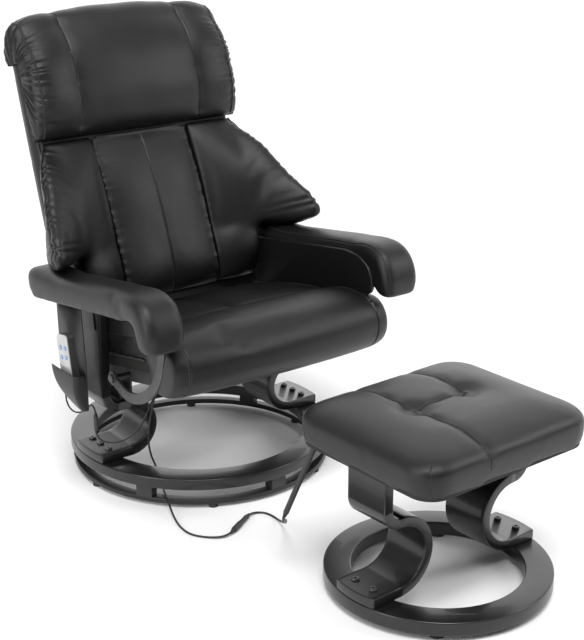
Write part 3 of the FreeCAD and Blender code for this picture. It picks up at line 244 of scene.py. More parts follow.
tooth_group, given, out = effect_group("fine_tooth", {"Scale": 900.0}, ("Height", "Patch"))
place = add(tooth_group, "TexCoord").outputs["Object"]
tooth = add(tooth_group, "TexNoise", {"Vector": place, "Scale": given["Scale"], "Detail": 3.0})
patch = add(tooth_group, "TexNoise", {"Vector": place, "Scale": 11.0, "Detail": 2.0})
tooth_group.links.new(tooth.outputs["Fac"], out["Height"])
tooth_group.links.new(patch.outputs["Fac"], out["Patch"])
print("rubbed edge and fine tooth groups")


# %% [markdown]
# Every finish is then the same few steps: a base colour that wanders between two tones, a
# roughness that wanders with it, a bump, and a paler tone where edges are rubbed.

# %% Finishes by slot
def finish(name, tones, roughness, rubbed, bump, grain=None, tooth=None, streak=None, metallic=0.0,
           coat=0.0, gloss=0.5):
    material = bpy.data.materials.new(name)
    material.use_nodes = True
    tree = material.node_tree
    shader = tree.nodes["Principled BSDF"]
    if grain:
        effect = place_group(tree, grain_group, {"Cells": grain})
        wander = effect["Mottle"]
    else:
        effect = place_group(tree, tooth_group, {"Scale": tooth})
        wander = effect["Patch"]
    surface = effect["Height"]
    if streak:
        turned = add(tree, "Mapping", {"Vector": add(tree, "TexCoord").outputs["Object"], "Scale": streak})
        fibres = add(tree, "TexNoise", {"Vector": turned.outputs["Vector"], "Scale": 1.0, "Detail": 5.0})
        surface = add(tree, "Math", {0: surface, 1: fibres.outputs["Fac"]}).outputs[0]
        wander = fibres.outputs["Fac"]
    tone = add(tree, "MixRGB", {"Fac": wander, "Color1": (*tones[0], 1), "Color2": (*tones[1], 1)})
    edges = place_group(tree, rub_group, {})["Rub"]
    worn = add(tree, "MixRGB", {"Fac": edges, "Color1": tone.outputs["Color"], "Color2": (*rubbed, 1)})
    rough = add(tree, "MapRange", {"Value": wander, "To Min": roughness[0], "To Max": roughness[1]})
    relief = add(tree, "Bump", {"Height": surface, "Strength": bump[0], "Distance": bump[1]})
    tree.links.new(worn.outputs["Color"], shader.inputs["Base Color"])
    tree.links.new(rough.outputs["Result"], shader.inputs["Roughness"])
    tree.links.new(relief.outputs["Normal"], shader.inputs["Normal"])
    shader.inputs["Metallic"].default_value = metallic
    shader.inputs["Coat Weight"].default_value = coat
    shader.inputs["Specular IOR Level"].default_value = gloss
    return material


def grey(value, blue=0.0):
    return (value, value, value * (1 + blue))


# each row: two tones, two roughnesses, rubbed tone, bump strength and depth, then what else it needs
finish_rows = {
    "black_leather": ((grey(0.0035, 0.16), grey(0.0070, 0.16)), (0.33, 0.42), grey(0.018), (0.24, 0.0005),
                      {"grain": 620.0, "gloss": 0.42}),
    "black_wood": ((grey(0.0035), grey(0.0080)), (0.27, 0.38), grey(0.03), (0.12, 0.0004),
                   {"tooth": 700.0, "streak": (30, 220, 220), "coat": 0.2}),
    # plywood: its near-black tones are painted shade, so the boards read dark where they show in the gaps between
    # the cushions
    "plywood": (((0.0045, 0.0043, 0.0040), (0.0085, 0.0080, 0.0075)), (0.6, 0.75), (0.012, 0.011, 0.010),
                (0.2, 0.0005), {"tooth": 500.0, "streak": (12, 90, 260)}),
    "black_steel": ((grey(0.006), grey(0.011)), (0.34, 0.46), grey(0.06), (0.2, 0.0003), {"tooth": 800.0}),
    "bolt_steel": ((grey(0.05), grey(0.09)), (0.3, 0.45), grey(0.35), (0.1, 0.0002),
                   {"tooth": 1200.0, "metallic": 0.9}),
    "nylon": ((grey(0.012), grey(0.02)), (0.5, 0.6), grey(0.04), (0.15, 0.0002), {"tooth": 900.0}),
    "glide_rubber": ((grey(0.01), grey(0.016)), (0.65, 0.8), grey(0.03), (0.3, 0.0003), {"tooth": 600.0}),
    "black_plastic": ((grey(0.013), grey(0.02)), (0.42, 0.55), grey(0.05), (0.25, 0.0002), {"tooth": 1800.0}),
    "silver_plastic": ((grey(0.30, 0.03), grey(0.40, 0.03)), (0.28, 0.4), grey(0.7), (0.08, 0.0001),
                       {"tooth": 2400.0, "metallic": 0.35}),
    "button_plastic": (((0.16, 0.26, 0.42), (0.22, 0.34, 0.52)), (0.3, 0.42), (0.5, 0.6, 0.7), (0.08, 0.0001),
                       {"tooth": 1500.0}),
    "circuit": (((0.02, 0.13, 0.05), (0.04, 0.22, 0.09)), (0.35, 0.5), (0.6, 0.5, 0.2), (0.2, 0.0002),
                {"tooth": 900.0, "streak": (900, 300, 60)}),
    "lead_jacket": ((grey(0.01), grey(0.016)), (0.4, 0.52), grey(0.03), (0.2, 0.0002), {"tooth": 1400.0}),
}
finishes = {name: finish(name, *row[:4], **row[4]) for name, row in finish_rows.items()}
thread_finish = finish("leather_thread", (grey(0.03), grey(0.06)), (0.5, 0.65), grey(0.09),
                       (0.5, 0.0002), tooth=2600.0, streak=(4000, 4000, 4000))
slot_of = {row["node"]: row["material_slot"] for row in frame["record"]["subparts"]}
for name, node in nodes.items():
    node.data.materials.clear()
    node.data.materials.append(finishes[slot_of[name]])
print(len(finishes), "finishes on", len(nodes), "nodes")

# %% [markdown]
# ## Floor
# One big plane, barely off white. It isn't part of the chair.

# %% Floor
floor_half = 30
drawing = bmesh.new()
bmesh.ops.create_grid(drawing, x_segments=1, y_segments=1, size=floor_half)
floor = object_of("studio_floor", mesh_of("studio_floor", drawing))
floor.data.materials.append(finish("studio_paper", (grey(0.86), grey(0.88)), (0.8, 0.9), grey(0.88),
                                   (0.05, 0.0002), tooth=60.0))
print("floor", 2 * floor_half, "m wide")

# %% [markdown]
# ## Helpers for pieces
# A finished drawing becomes an object at the origin with its place in its mesh, rides on the body
# of the node it stands for, and takes that node's finish.

# %% Make a piece
def dress(piece, body, slot):
    piece.data.materials.clear()
    piece.data.materials.append(finishes[slot])
    if body:
        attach(piece, body)


def shade(piece, smooth=True):
    for polygon in piece.data.polygons:
        polygon.use_smooth = smooth


def piece_of(name, drawing, node, smooth=True, body=None, slot=None):
    piece = object_of(name, mesh_of(name, drawing))
    shade(piece, smooth)
    dress(piece, body or body_of[node], slot or slot_of[node])
    if node:
        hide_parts(node)
    return piece


def shown_mesh(thing):
    """The mesh that an object shows, with its modifiers or its curve's thickness."""
    return bpy.data.meshes.new_from_object(thing.evaluated_get(bpy.context.evaluated_depsgraph_get()))


def keep_result(piece):
    """What the modifiers show becomes the piece's own mesh."""
    result = shown_mesh(piece)
    piece.modifiers.clear()
    piece.data = result


# %% [markdown]
# The drawings need the same few operators again and again, so these get short names: to pick out
# what an operator made, to merge doubles, to turn faces outwards, to place and to round.

# %% Drawing tools
def drawn(*meshes):
    drawing = bmesh.new()
    for mesh in meshes:
        drawing.from_mesh(mesh)
    return drawing


def only(kind, geom):
    return [item for item in geom if isinstance(item, kind)]


def everything(drawing):
    return drawing.faces[:] + drawing.edges[:] + drawing.verts[:]


def merge(drawing, gap=1e-6):
    bmesh.ops.remove_doubles(drawing, verts=drawing.verts, dist=gap)


def face_out(drawing):
    bmesh.ops.recalc_face_normals(drawing, faces=drawing.faces)


def put(drawing, place):
    bmesh.ops.transform(drawing, matrix=place, verts=drawing.verts)


def round_off(drawing, geom, radius, segments, kind="EDGES"):
    bmesh.ops.bevel(drawing, geom=geom, offset=radius, offset_type="OFFSET", segments=segments, profile=0.5,
                    affect=kind, material=-1)


# %% [markdown]
# ## Base rings
# The rings are turned: a rounded profile is drawn once, in the plane of the axis, and spun a full
# turn. The swivel ring's underside has the groove that runs over the nylon blocks.

# %% Turn the rings
def turned_ring(name, node, outline, corners, place, rounding=0.003, steps=144, body=None, slot=None):
    drawing = bmesh.new()
    profile = [drawing.verts.new((r, 0, z)) for r, z in outline]
    drawing.faces.new(profile)
    round_off(drawing, [profile[k] for k in corners], rounding, 4, "VERTICES")
    bmesh.ops.spin(drawing, geom=everything(drawing), cent=(0, 0, 0), axis=(0, 0, 1), angle=math.tau,
                   steps=steps, use_merge=True)
    inner = [face for face in drawing.faces if len(face.verts) > 4]
    bmesh.ops.delete(drawing, geom=inner, context="FACES_ONLY")
    merge(drawing)
    face_out(drawing)
    put(drawing, place)
    piece = piece_of(name, drawing, node, body=body, slot=slot)
    print(name, len(piece.data.polygons), "faces")
    return piece


def box_outline(r_in, r_out, low, high):
    return [(r_in, low), (r_out, low), (r_out, high), (r_in, high)]


groove_in, groove_out, groove_top = 0.2697, 0.2783, 0.0503
turned_ring("floor_ring_turned", "floor_ring", box_outline(0.263, 0.285, 0.008, 0.019), (0, 1, 2, 3), chair,
            rounding=0.002)
turned_ring("swivel_ring_turned", "swivel_ring", [
    (0.237, 0.044), (groove_in, 0.044), (groove_in, groove_top), (groove_out, groove_top),
    (groove_out, 0.044), (0.291, 0.044), (0.291, 0.069), (0.237, 0.069)], (0, 5, 6, 7), chair)
turned_ring("stool_ring_turned", "stool_ring", box_outline(0.164, 0.217, 0.012, 0.040), (0, 1, 2, 3), stool)

# %% [markdown]
# ## Leads
# The footstool's motors are fed by a lead from the box under the seat. It drops through the base
# ring, passes out between the swivel blocks, lies on the floor, joins the footstool's own lead at
# an inline connector and rises into a stiff sleeve. The handset hangs on a thinner lead. Each line
# is one NURBS spline along the same points as in CAD, so it lies in smooth curves.

# %% Routes
def route(*points):
    """Points of the chair's frame, given in millimetres."""
    return [Vector([value / 1000 for value in point]) for point in points]


stool_lead_points = route(
    (-65, -26, 270), (-84, -26, 270), (-112, -35, 254), (-138, -50, 222), (-160, -64, 184), (-177, -73, 142),
    (-185, -78, 104), (-181, -80, 73), (-172, -79, 50), (-165.8, -78.3, 34.2), (-166.5, -91, 21),
    (-180, -122, 23), (-198, -156, 26), (-212, -190, 25), (-222, -222, 14), (-231, -254, 3.4),
    (-240, -290, 2.4), (-240, -325, 2.4), (-222, -353, 2.4), (-200, -373, 4), (-179.9, -377.2, 6.3),
    (-161, -366, 6.3))
rise_points = route(
    (-112, -337, 6.3), (-97.4, -328.3, 6.3), (-77, -325, 3), (-62, -338, 2.4), (-59, -360, 2.4),
    (-63, -386, 5), (-76, -420, 18), (-100, -460, 42), (-130, -502, 72), (-158, -538, 100),
    (-176, -554, 106), (-184.2, -565.3, 119.4), (-182, -572, 136))
handset_lead_points = route(
    (-330.6, 8, 263.5), (-330.6, 19.4, 261.5), (-329, 36, 266), (-323, 49, 262), (-315, 54, 249),
    (-311, 50, 230), (-309, 48, 212), (-307.5, 52, 196), (-305, 54, 180), (-301, 47, 165), (-295, 32, 160),
    (-289.5, 12, 168), (-285, -6, 184), (-285, -14.5, 192.5), (-285, -26.5, 192.5), (-285, -35, 184),
    (-285, -35, 172))
lower_lead_points = route(
    (-285, -35, 142), (-285, -35, 130), (-278, -40, 116), (-261, -50, 110), (-243, -66, 114),
    (-224, -80, 128), (-207, -89, 150), (-192, -92, 178), (-174, -88, 205), (-152, -79, 228),
    (-126, -69, 246), (-101, -60, 259), (-82, -58, 266), (-65, -58, 266))
print("four routes of", [len(line) for line in (stool_lead_points, rise_points, handset_lead_points,
                                             lower_lead_points)], "points")


# %% Draw a lead
def add_spline(curve, points, order):
    spline = curve.splines.new("NURBS")
    spline.points.add(len(points) - 1)
    for control, point in zip(spline.points, points):
        control.co = (*point, 1)
    spline.order_u = order
    spline.use_endpoint_u = True


def lead_line(name, points, radius):
    """A tube along the smooth spline of the route, and the points that its middle follows."""
    curve = bpy.data.curves.new(name, "CURVE")
    curve.dimensions = "3D"
    curve.resolution_u = 10
    add_spline(curve, [chair @ point for point in points], 3)
    holder = object_of(name, curve)
    middle = [vertex.co.copy() for vertex in shown_mesh(holder).vertices]
    curve.bevel_depth = radius
    curve.bevel_resolution = 4
    curve.use_fill_caps = True
    tube = object_of(name, shown_mesh(holder))
    bpy.data.objects.remove(holder)
    shade(tube)
    length = sum((b - a).length for a, b in zip(middle, middle[1:]))
    print(name, "is", round(length, 3), "m long")
    return tube, middle, length


# %% [markdown]
# Where a lead leaves a housing it would kink, so it wears a soft tapered boot there. A boot is
# turned like the rings: a tapering outline with grooves between its ribs, spun about the lead.

# %% Strain reliefs
stool_lead_r, handset_lead_r = 0.0021, 0.0018
long_boot, short_boot = 0.016, 0.010


def boot(name, points, radius, body, long):
    """A ribbed boot round a lead, from the first of the points towards the second."""
    start, towards_point = (chair @ point for point in points[:2])
    outline = [(0.6 * radius, 0), (2.5 * radius, 0)]
    for rib in range(1, 5):
        wide, at = radius * (2.5 - 0.28 * rib), long * rib / 5
        outline += [(wide, at - 0.06 * long), (wide - 0.4 * radius, at - 0.05 * long),
                    (wide - 0.4 * radius, at + 0.05 * long), (wide, at + 0.06 * long)]
    outline += [(1.25 * radius, long), (0.6 * radius, long)]
    turn = (towards_point - start).to_track_quat("Z", "Y").to_matrix().to_4x4()
    return turned_ring(name, None, outline, (), Matrix.Translation(start) @ turn, steps=24, body=body,
                       slot="lead_jacket")


# %% [markdown]
# Each lead is laid with the boots that belong to it, one at each end. A lead that crosses a joint
# is tied to neither body and stays where it lies.

# %% Lay the leads
def lay_lead(name, points, radius, stands_for, ends, follows=None):
    boots = [boot(label, line, radius, body, long)
             for line, (label, body, long) in zip((points, points[::-1]), ends)]
    lead, middle, length = lead_line(name, points, radius)
    dress(lead, None if follows else "swivel_base", "lead_jacket")
    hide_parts(*stands_for)
    if follows:
        first, second, start, end = follows
        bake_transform(lead)


joint_body, sleeve_body, plug_body = (
    body_of[node] for node in ("lead_connector", "lead_sleeve", "handset_plug"))
lay_lead("stool_lead", stool_lead_points, stool_lead_r, ("stool_lead_upper", "stool_lead_floor"),
         (("stool_lead_boot", "swivel_base", long_boot), ("connector_boot_in", joint_body, long_boot)),
         ("floor_base", "swivel_base", (-0.17, -0.08, 0.030), (-0.17, -0.08, 0.066)))
lay_lead("stool_lead_end", rise_points, stool_lead_r, ["stool_lead_rise"],
         (("connector_boot_out", joint_body, long_boot), ("sleeve_boot", sleeve_body, long_boot)),
         ("floor_base", "footstool", (-0.063, -0.386, 0.005), (-0.180, -0.560, 0.112)))
lay_lead("handset_cord", handset_lead_points, handset_lead_r, ["handset_lead"],
         (("handset_boot", "handset", short_boot), ("plug_boot_in", plug_body, short_boot)),
         ("swivel_base", "handset", (-0.306, 0.05, 0.175), (-0.325, 0.03, 0.262)))
lay_lead("handset_cord_lower", lower_lead_points, handset_lead_r, ["handset_lead_lower"],
         (("plug_boot_out", plug_body, short_boot), ("box_boot", "swivel_base", long_boot)))

# %% [markdown]
# ## Bentwood legs
# Each leg is one strip of laminated wood bent into an S. Its section is a flat rounded board; it
# runs in along the ring, spins half a turn inwards and up, runs out under the seat and spins a
# quarter turn up into the post. Spin and extrude follow the bending.

# %% Bend the legs
leg_t, foot_clear, edge_round = 0.020, 0.0004, 0.0025
chair_leg = {"foot_x": 0.2907, "c_x": 0.212, "c_r": 0.065, "foot_z": 0.069, "flat": 0.025, "bend_r": 0.020,
             "top_z": 0.450, "width": 0.110, "ring_r": 0.291}
stool_leg = {"foot_x": 0.2167, "c_x": 0.145, "c_r": 0.080, "foot_z": 0.040, "flat": 0.002, "bend_r": 0.020,
             "top_z": 0.290, "width": 0.100, "ring_r": 0.217}


def bent_leg(place, foot_x, c_x, c_r, foot_z, flat, bend_r, top_z, width, ring_r, trim=None):
    drawing = bmesh.new()
    bmesh.ops.create_grid(drawing, x_segments=1, y_segments=10, size=0.5)
    lie = Matrix.Translation((foot_x, 0, foot_z + leg_t / 2)) @ Matrix.Rotation(math.radians(90), 4, "Y")
    put(drawing, lie @ Matrix.Diagonal((leg_t, width, 1, 1)))
    end = drawing.faces[:]

    def run(shift):
        nonlocal end
        made = bmesh.ops.extrude_face_region(drawing, geom=end)["geom"]
        bmesh.ops.translate(drawing, vec=shift, verts=only(BMVert, made))
        end = only(BMFace, made)

    def turn(x, z, degrees, steps):
        nonlocal end
        made = bmesh.ops.spin(drawing, geom=end, cent=(x, 0, z), axis=(0, 1, 0),
                              angle=math.radians(degrees), steps=steps)["geom_last"]
        end = only(BMFace, made)

    bend_z = foot_z + 2 * c_r + bend_r
    run((c_x - foot_x, 0, 0))
    turn(c_x, foot_z + c_r, 180, 24)
    run((flat, 0, 0))
    turn(c_x + flat, bend_z, -90, 12)
    run((0, 0, top_z - bend_z))
    if trim:
        cut = bmesh.ops.bisect_plane(drawing, geom=everything(drawing), plane_co=trim[0], plane_no=trim[1],
                                     clear_outer=True)
        bmesh.ops.holes_fill(drawing, edges=only(BMEdge, cut["geom_cut"]))
    for vertex in drawing.verts:
        if vertex.co.x > foot_x - 0.001 and vertex.co.z < foot_z + leg_t + 0.001:
            vertex.co.x = math.sqrt((ring_r - foot_clear) ** 2 - vertex.co.y ** 2)
    merge(drawing)
    face_out(drawing)
    sharp = [e for e in drawing.edges if len(e.link_faces) == 2 and e.calc_face_angle() > math.radians(50)]
    round_off(drawing, sharp, edge_round, 3)
    put(drawing, place)
    face_out(drawing)
    return drawing


turn_round = Matrix.Rotation(math.pi, 4, "Z")
arm_up = arm.to_3x3() @ Vector((0, 0, 1))
for name, node, place in (("leg_left_bent", "leg_left", chair),
                          ("leg_right_bent", "leg_right", chair @ turn_round)):
    inverse = place.inverted()
    slope = (inverse @ arm.translation, inverse.to_3x3() @ arm_up)
    leg = piece_of(name, bent_leg(place, **chair_leg, trim=slope), node)
halves = [mesh_of("stool_leg", bent_leg(place, **stool_leg)) for place in (stool, stool @ turn_round)]
piece_of("stool_legs_bent", drawn(*halves), "stool_legs")
for half in halves:
    bpy.data.meshes.remove(half)
print("four bent legs, the chair's of", len(leg.data.polygons), "faces each")

# %% [markdown]
# ## Bolts
# Each bolt is turned on its own axis, read from the CAD bolt it stands for. The ring of points
# around the key's recess is then moved in to a hexagon.

# %% Turn the bolts
shank_r, head_r, head_h, key_r, key_deep = 0.0040, 0.0075, 0.0050, 0.0028, 0.0026
dome = ((head_r, 0.0018), (head_r - 0.0006, 0.0008), (head_r - 0.0018, 0.0002), (key_r + 0.0012, 0.0),
        (key_r, 0.0002))


def islands(mesh):
    """The separate shapes of a mesh, as lists of points."""
    drawing = drawn(mesh)
    merge(drawing, 1e-5)
    found, done = [], set()
    for first in drawing.verts:
        group, ahead = [], [first]
        while ahead:
            vert = ahead.pop()
            if vert not in done:
                done.add(vert)
                group.append(vert.co.copy())
                ahead += [edge.other_vert(vert) for edge in vert.link_edges]
        if group:
            found.append(group)
    drawing.free()
    return found


def turned_bolts(name, node, steps=24):
    drawing = bmesh.new()
    half_flat = math.radians(30)
    for group in islands(nodes[node].data):
        low, high = (Vector([pick(p[k] for p in group) for k in range(3)]) for pick in (min, max))
        x, y, top = (low.x + high.x) / 2, (low.y + high.y) / 2, high.z
        outline = ((0, low.z), (shank_r, low.z), (shank_r, top - head_h), (head_r, top - head_h),
                   *((r, top - below) for r, below in dome), (key_r, top - key_deep), (0, top - key_deep))
        line = [drawing.verts.new((x + r, y, z)) for r, z in outline]
        edges = [drawing.edges.new(pair) for pair in zip(line, line[1:])]
        bmesh.ops.spin(drawing, geom=line + edges, cent=(x, y, 0), axis=(0, 0, 1), angle=math.tau,
                       steps=steps, use_merge=True)
        for vert in drawing.verts:
            spread = Vector((vert.co.x - x, vert.co.y - y))
            if abs(spread.length - key_r) < 1e-5 and vert.co.z > top - head_h:
                turn = math.atan2(spread.y, spread.x) % (2 * half_flat) - half_flat
                out = math.cos(half_flat) / math.cos(turn)
                vert.co.x, vert.co.y = x + spread.x * out, y + spread.y * out
    merge(drawing)
    face_out(drawing)
    piece = piece_of(name, drawing, node, smooth=False)
    print(name, len(piece.data.polygons), "faces")


turned_bolts("frame_bolts_turned", "frame_bolts")
turned_bolts("stool_bolts_turned", "stool_bolts")

# %% [markdown]
# ## Stuffing a cushion
# A real cushion is a sewn cover pushed out by foam. So each CAD cushion is copied and remeshed to
# an even skin, drawn in a little, sewn down where its seams and its board hold it, and blown up as
# cloth with pressure. No point may move further than a cap, and each piece keeps clear of its
# neighbours. What the seams hold down then stands between plump panels.

# %% Skin and stuffing
def skin_over(name, node, *inside, voxel=0.006):
    drawing = drawn(*(nodes[each].data for each in (node, *inside)))
    merge(drawing, 1e-5)
    piece = object_of(name, mesh_of(name, drawing))
    remesh = piece.modifiers.new("even_skin", "REMESH")
    remesh.mode = "VOXEL"
    remesh.voxel_size = voxel
    keep_result(piece)
    return piece


def blow_up(piece, pressure, frames=20):
    cloth = piece.modifiers.new("stuffing", "CLOTH")
    cloth.settings.quality = 4
    cloth.settings.use_pressure = True
    cloth.settings.uniform_pressure_force = pressure
    cloth.settings.bending_stiffness = 12.0
    cloth.settings.vertex_group_mass = "sewn"
    cloth.settings.effector_weights.gravity = 0
    cloth.point_cache.frame_end = frames
    for frame_number in range(1, frames + 1):
        scene.frame_set(frame_number)
    keep_result(piece)
    scene.frame_set(1)


def ease(piece, free, turns):
    """Smooths the free points a few times, as stretched leather does."""
    drawing = drawn(piece.data)
    drawing.verts.ensure_lookup_table()
    loose = [drawing.verts[k] for k in free]
    for turn in range(turns):
        bmesh.ops.smooth_vert(drawing, verts=loose, factor=0.5,
                              use_axis_x=True, use_axis_y=True, use_axis_z=True)
    drawing.to_mesh(piece.data)
    drawing.free()


def make_finer(piece, levels=1):
    finer = piece.modifiers.new("finer_skin", "SUBSURF")
    finer.levels = finer.render_levels = levels


def give_wall(piece, thickness, side, levels=0):
    """Thickens a skin to that side, 0 for both, and smooths it."""
    wall = piece.modifiers.new("wall", "SOLIDIFY")
    wall.thickness, wall.offset = thickness, side
    if levels:
        make_finer(piece, levels)
    keep_result(piece)
    shade(piece)


def near(distance, width):
    return math.exp(-(distance / width) ** 2)


def clamp(value, low, high):
    return max(low, min(high, value))


def rise(value, low, high):
    """0 below low, 1 above high, and a smooth slope between."""
    share = clamp((value - low) / (high - low), 0, 1)
    return share * share * (3 - 2 * share)


def boxed(p, x, y, z):
    """The point moved into a range of x, of y and of z."""
    return Vector([clamp(value, *limits) for value, limits in zip(p, (x, y, z))])


def coax(piece, place, move):
    """Moves every point of a skin, in its own level frame."""
    inverse = place.inverted()
    for vertex in piece.data.vertices:
        vertex.co = place @ move(inverse @ vertex.co)


def stuff(piece, place, held, seams, limit, draw_in=0.004, cap=0.014, seam_depth=0.005, seam_width=0.008,
          pressure=4.0, turns=4):
    """Blows the skin up, held where held says and sewn down along its seams."""
    mesh = piece.data
    inverse = place.inverted()
    pins = piece.vertex_groups.new(name="sewn")
    start, free = [], []
    for vertex in mesh.vertices:
        local = inverse @ vertex.co
        fixed = 1.0 if held(local) else 0.0
        sewn = max((near(seam(local), seam_width) for seam in seams), default=0.0)
        start.append(vertex.co - vertex.normal * (draw_in + seam_depth * sewn) * (1 - fixed))
        pinned = max(fixed, 1.0 if sewn > 0.6 else 0.0)
        pins.add([vertex.index], pinned, "REPLACE")
        if pinned < 0.5:
            free.append(vertex.index)
    for vertex, at in zip(mesh.vertices, start):
        vertex.co = at
    blow_up(piece, pressure)
    for vertex, at in zip(piece.data.vertices, start):
        moved = vertex.co - at
        if moved.length > cap:
            moved *= cap / moved.length
        vertex.co = place @ limit(inverse @ (at + moved))
    piece.vertex_groups.clear()
    ease(piece, free, turns)
    make_finer(piece)
    keep_result(piece)


# %% [markdown]
# Once a cushion has its shape, its seams are drawn in sharply: the mesh is cut along the seam's
# plane and the cut is pulled in, which leaves a crease. Beside a gathered seam the leather stands
# in small puckers that fade away from it.

# %% Seams and gathers
def sew(piece, place, point, direction, inside, order, depth=0.0025, reach=0.012):
    """Creases the skin along a plane where inside says, and gives the line as points with normals."""
    drawing = drawn(piece.data)
    inverse = place.inverted()
    turn = inverse.to_3x3()
    point, direction = Vector(point), Vector(direction).normalized()
    beside = []
    for face in drawing.faces:
        middle = inverse @ face.calc_center_median()
        if abs((middle - point).dot(direction)) < reach and inside(middle, turn @ face.normal):
            beside.append(face)
    edges = {edge for face in beside for edge in face.edges}
    verts = {vert for face in beside for vert in face.verts}
    cut = bmesh.ops.bisect_plane(drawing, geom=beside + list(edges) + list(verts), dist=1e-5,
                                 plane_co=place @ point, plane_no=place.to_3x3() @ direction)
    drawing.normal_update()
    line = [(vert.co.copy(), vert.normal.copy(), vert) for vert in only(BMVert, cut["geom_cut"])]
    for at, normal, vert in line:
        vert.co = at - normal * depth
    bmesh.ops.triangulate(drawing, faces=[face for face in drawing.faces if len(face.verts) > 4])
    drawing.to_mesh(piece.data)
    drawing.free()
    line.sort(key=lambda item: order(inverse @ item[0]))
    return [(at, normal) for at, normal, vert in line]


def sew_both(piece, place, x, inside, order, depth=0.0025):
    """The same upright seam on both sides."""
    return [sew(piece, place, (side * x, 0, 0), (1, 0, 0), inside, order, depth) for side in (-1, 1)]


def gather(piece, place, measure, depth=0.003, reach=0.018, pitch=0.021):
    """Puckers beside a gathered seam; measure gives a point's distance from it and its run along it."""
    inverse = place.inverted()
    pulled = []
    for vertex in piece.data.vertices:
        distance, run = measure(inverse @ vertex.co)
        if distance < 4 * reach:
            phase = run / pitch + 0.3 * math.sin(run * 57) + 0.2 * math.sin(run * 131)
            pucker = 0.5 - 0.5 * math.cos(math.tau * phase)
            at = vertex.co - vertex.normal * depth * pucker * math.exp(-distance / reach)
            pulled.append((vertex.index, at))
    for index, at in pulled:
        piece.data.vertices[index].co = at


def along_line(p, line):
    """A point's distance to a line of straight runs, and how far along it that is."""
    best, run = (1.0, 0.0), 0.0
    for a, b in zip(line, line[1:]):
        step = b - a
        share = clamp((p - a).dot(step) / step.length_squared, 0, 1)
        gap = (p - (a + step * share)).length
        if gap < best[0]:
            best = (gap, run + share * step.length)
        run += step.length
    return best


# %% [markdown]
# Stitches are hundreds of tiny alike shapes, so each has only a few faces. They follow the seam's
# own points at an even pitch, a little to one side of it, and are laid on the leather by looking
# for the nearest place on its surface. Piping is a thin tube along a seam.

# %% Stitches and piping
def evenly(line, pitch):
    """Points at an even pitch along a line, each with the leather's normal and the line's direction."""
    spots, left = [], 0.0
    for (a, a_normal), (b, b_normal) in zip(line, line[1:]):
        step = b - a
        while left < step.length:
            share = left / step.length
            spots.append((a.lerp(b, share), a_normal.lerp(b_normal, share).normalized(), step.normalized()))
            left += pitch
        left -= step.length
    return spots


def tree_of(piece):
    drawing = drawn(piece.data)
    tree = BVHTree.FromBMesh(drawing)
    drawing.free()
    return tree


def stitch(name, piece, lines, node, aside=0.004, pitch=0.0075, long=0.005, thick=0.00055):
    tree = tree_of(piece)
    drawing = bmesh.new()
    bmesh.ops.create_uvsphere(drawing, u_segments=6, v_segments=4, radius=1)
    one_stitch = mesh_of("one_stitch", drawing)
    drawing = bmesh.new()
    for line in lines:
        for at, normal, along in evenly(line, pitch):
            across = normal.cross(along).normalized()
            spot, facing, face, gap = tree.find_nearest(at + across * aside)
            if spot is None or gap > 0.012:
                continue
            side = facing.cross(along).normalized()
            turn = Matrix((side.cross(facing), side, facing)).transposed().to_4x4()
            size = Matrix.Diagonal((long / 2, thick, thick, 1))
            laid = one_stitch.copy()
            laid.transform(Matrix.Translation(spot + facing * thick * 0.4) @ turn @ size)
            drawing.from_mesh(laid)
            bpy.data.meshes.remove(laid)
    thread = piece_of(name, drawing, None, body=body_of[node], slot=slot_of[node])
    thread.data.materials[0] = thread_finish
    print(name, len(thread.data.polygons) // 24, "stitches")
    return thread


def piping(name, piece, lines, node, radius=0.0028, sink=0.0012):
    """A leather-covered cord along each line, laid on the leather."""
    tree = tree_of(piece)
    curve = bpy.data.curves.new(name, "CURVE")
    curve.dimensions = "3D"
    curve.bevel_depth = radius
    curve.bevel_resolution = 3
    curve.use_fill_caps = True
    for line in lines:
        spots = []
        for at, normal, along in evenly(line, 0.008):
            spot, facing, face, gap = tree.find_nearest(at)
            spots.append(spot + facing * (radius - sink))
        add_spline(curve, spots, 4)
    holder = object_of(name, curve)
    mesh = shown_mesh(holder)
    bpy.data.objects.remove(holder)
    print(name, len(mesh.polygons), "faces")
    return piece_of(name, drawn(mesh), None, body=body_of[node], slot=slot_of[node])


def finish_cushion(piece, node):
    shade(piece)
    dress(piece, body_of[node], slot_of[node])
    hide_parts(node)
    print(piece.name, len(piece.data.polygons), "faces")


def mirrored_copy(name, piece):
    copy = object_of(name, piece.data.copy())
    drawing = drawn(copy.data)
    put(drawing, mirror_over)
    bmesh.ops.reverse_faces(drawing, faces=drawing.faces)
    drawing.to_mesh(copy.data)
    drawing.free()
    return copy


def mirrored_line(line):
    return [(mirror_over @ at, mirror_over.to_3x3() @ normal) for at, normal in line]


mirror_over = chair @ Matrix.Diagonal((-1, 1, 1, 1)) @ chair.inverted()
far = 1.0
anywhere = (-far, far)
print("the chair's middle plane is at x", round(chair.translation.x, 4))

# %% [markdown]
# ### Seat
# The seat is one deep cushion with a rolled front. A seam crosses it behind the roll, a second one
# divides the rear panel, and a boxing seam goes round each side.

# %% Seat cushion
seat_skin = skin_over("seat_cushion_sewn", "seat_cushion", "seat_motors")
cross_seam_y, side_seam_x = -0.172, 0.236
board_front, board_top, seat_top_zone = -0.221, 0.034, 0.06


def seat_held(p):
    return p.y > board_front and p.z < board_top


seat_seams = (
    lambda p: abs(p.y - cross_seam_y) if p.z > seat_top_zone else far,
    lambda p: abs(p.x) if p.y > cross_seam_y and p.z > seat_top_zone else far,
)


def seat_limit(p):
    low = 0.0285 if p.y > -0.222 else -0.056
    return boxed(p, (-0.2575, 0.2575), (-0.366, 0.100), (low, far))


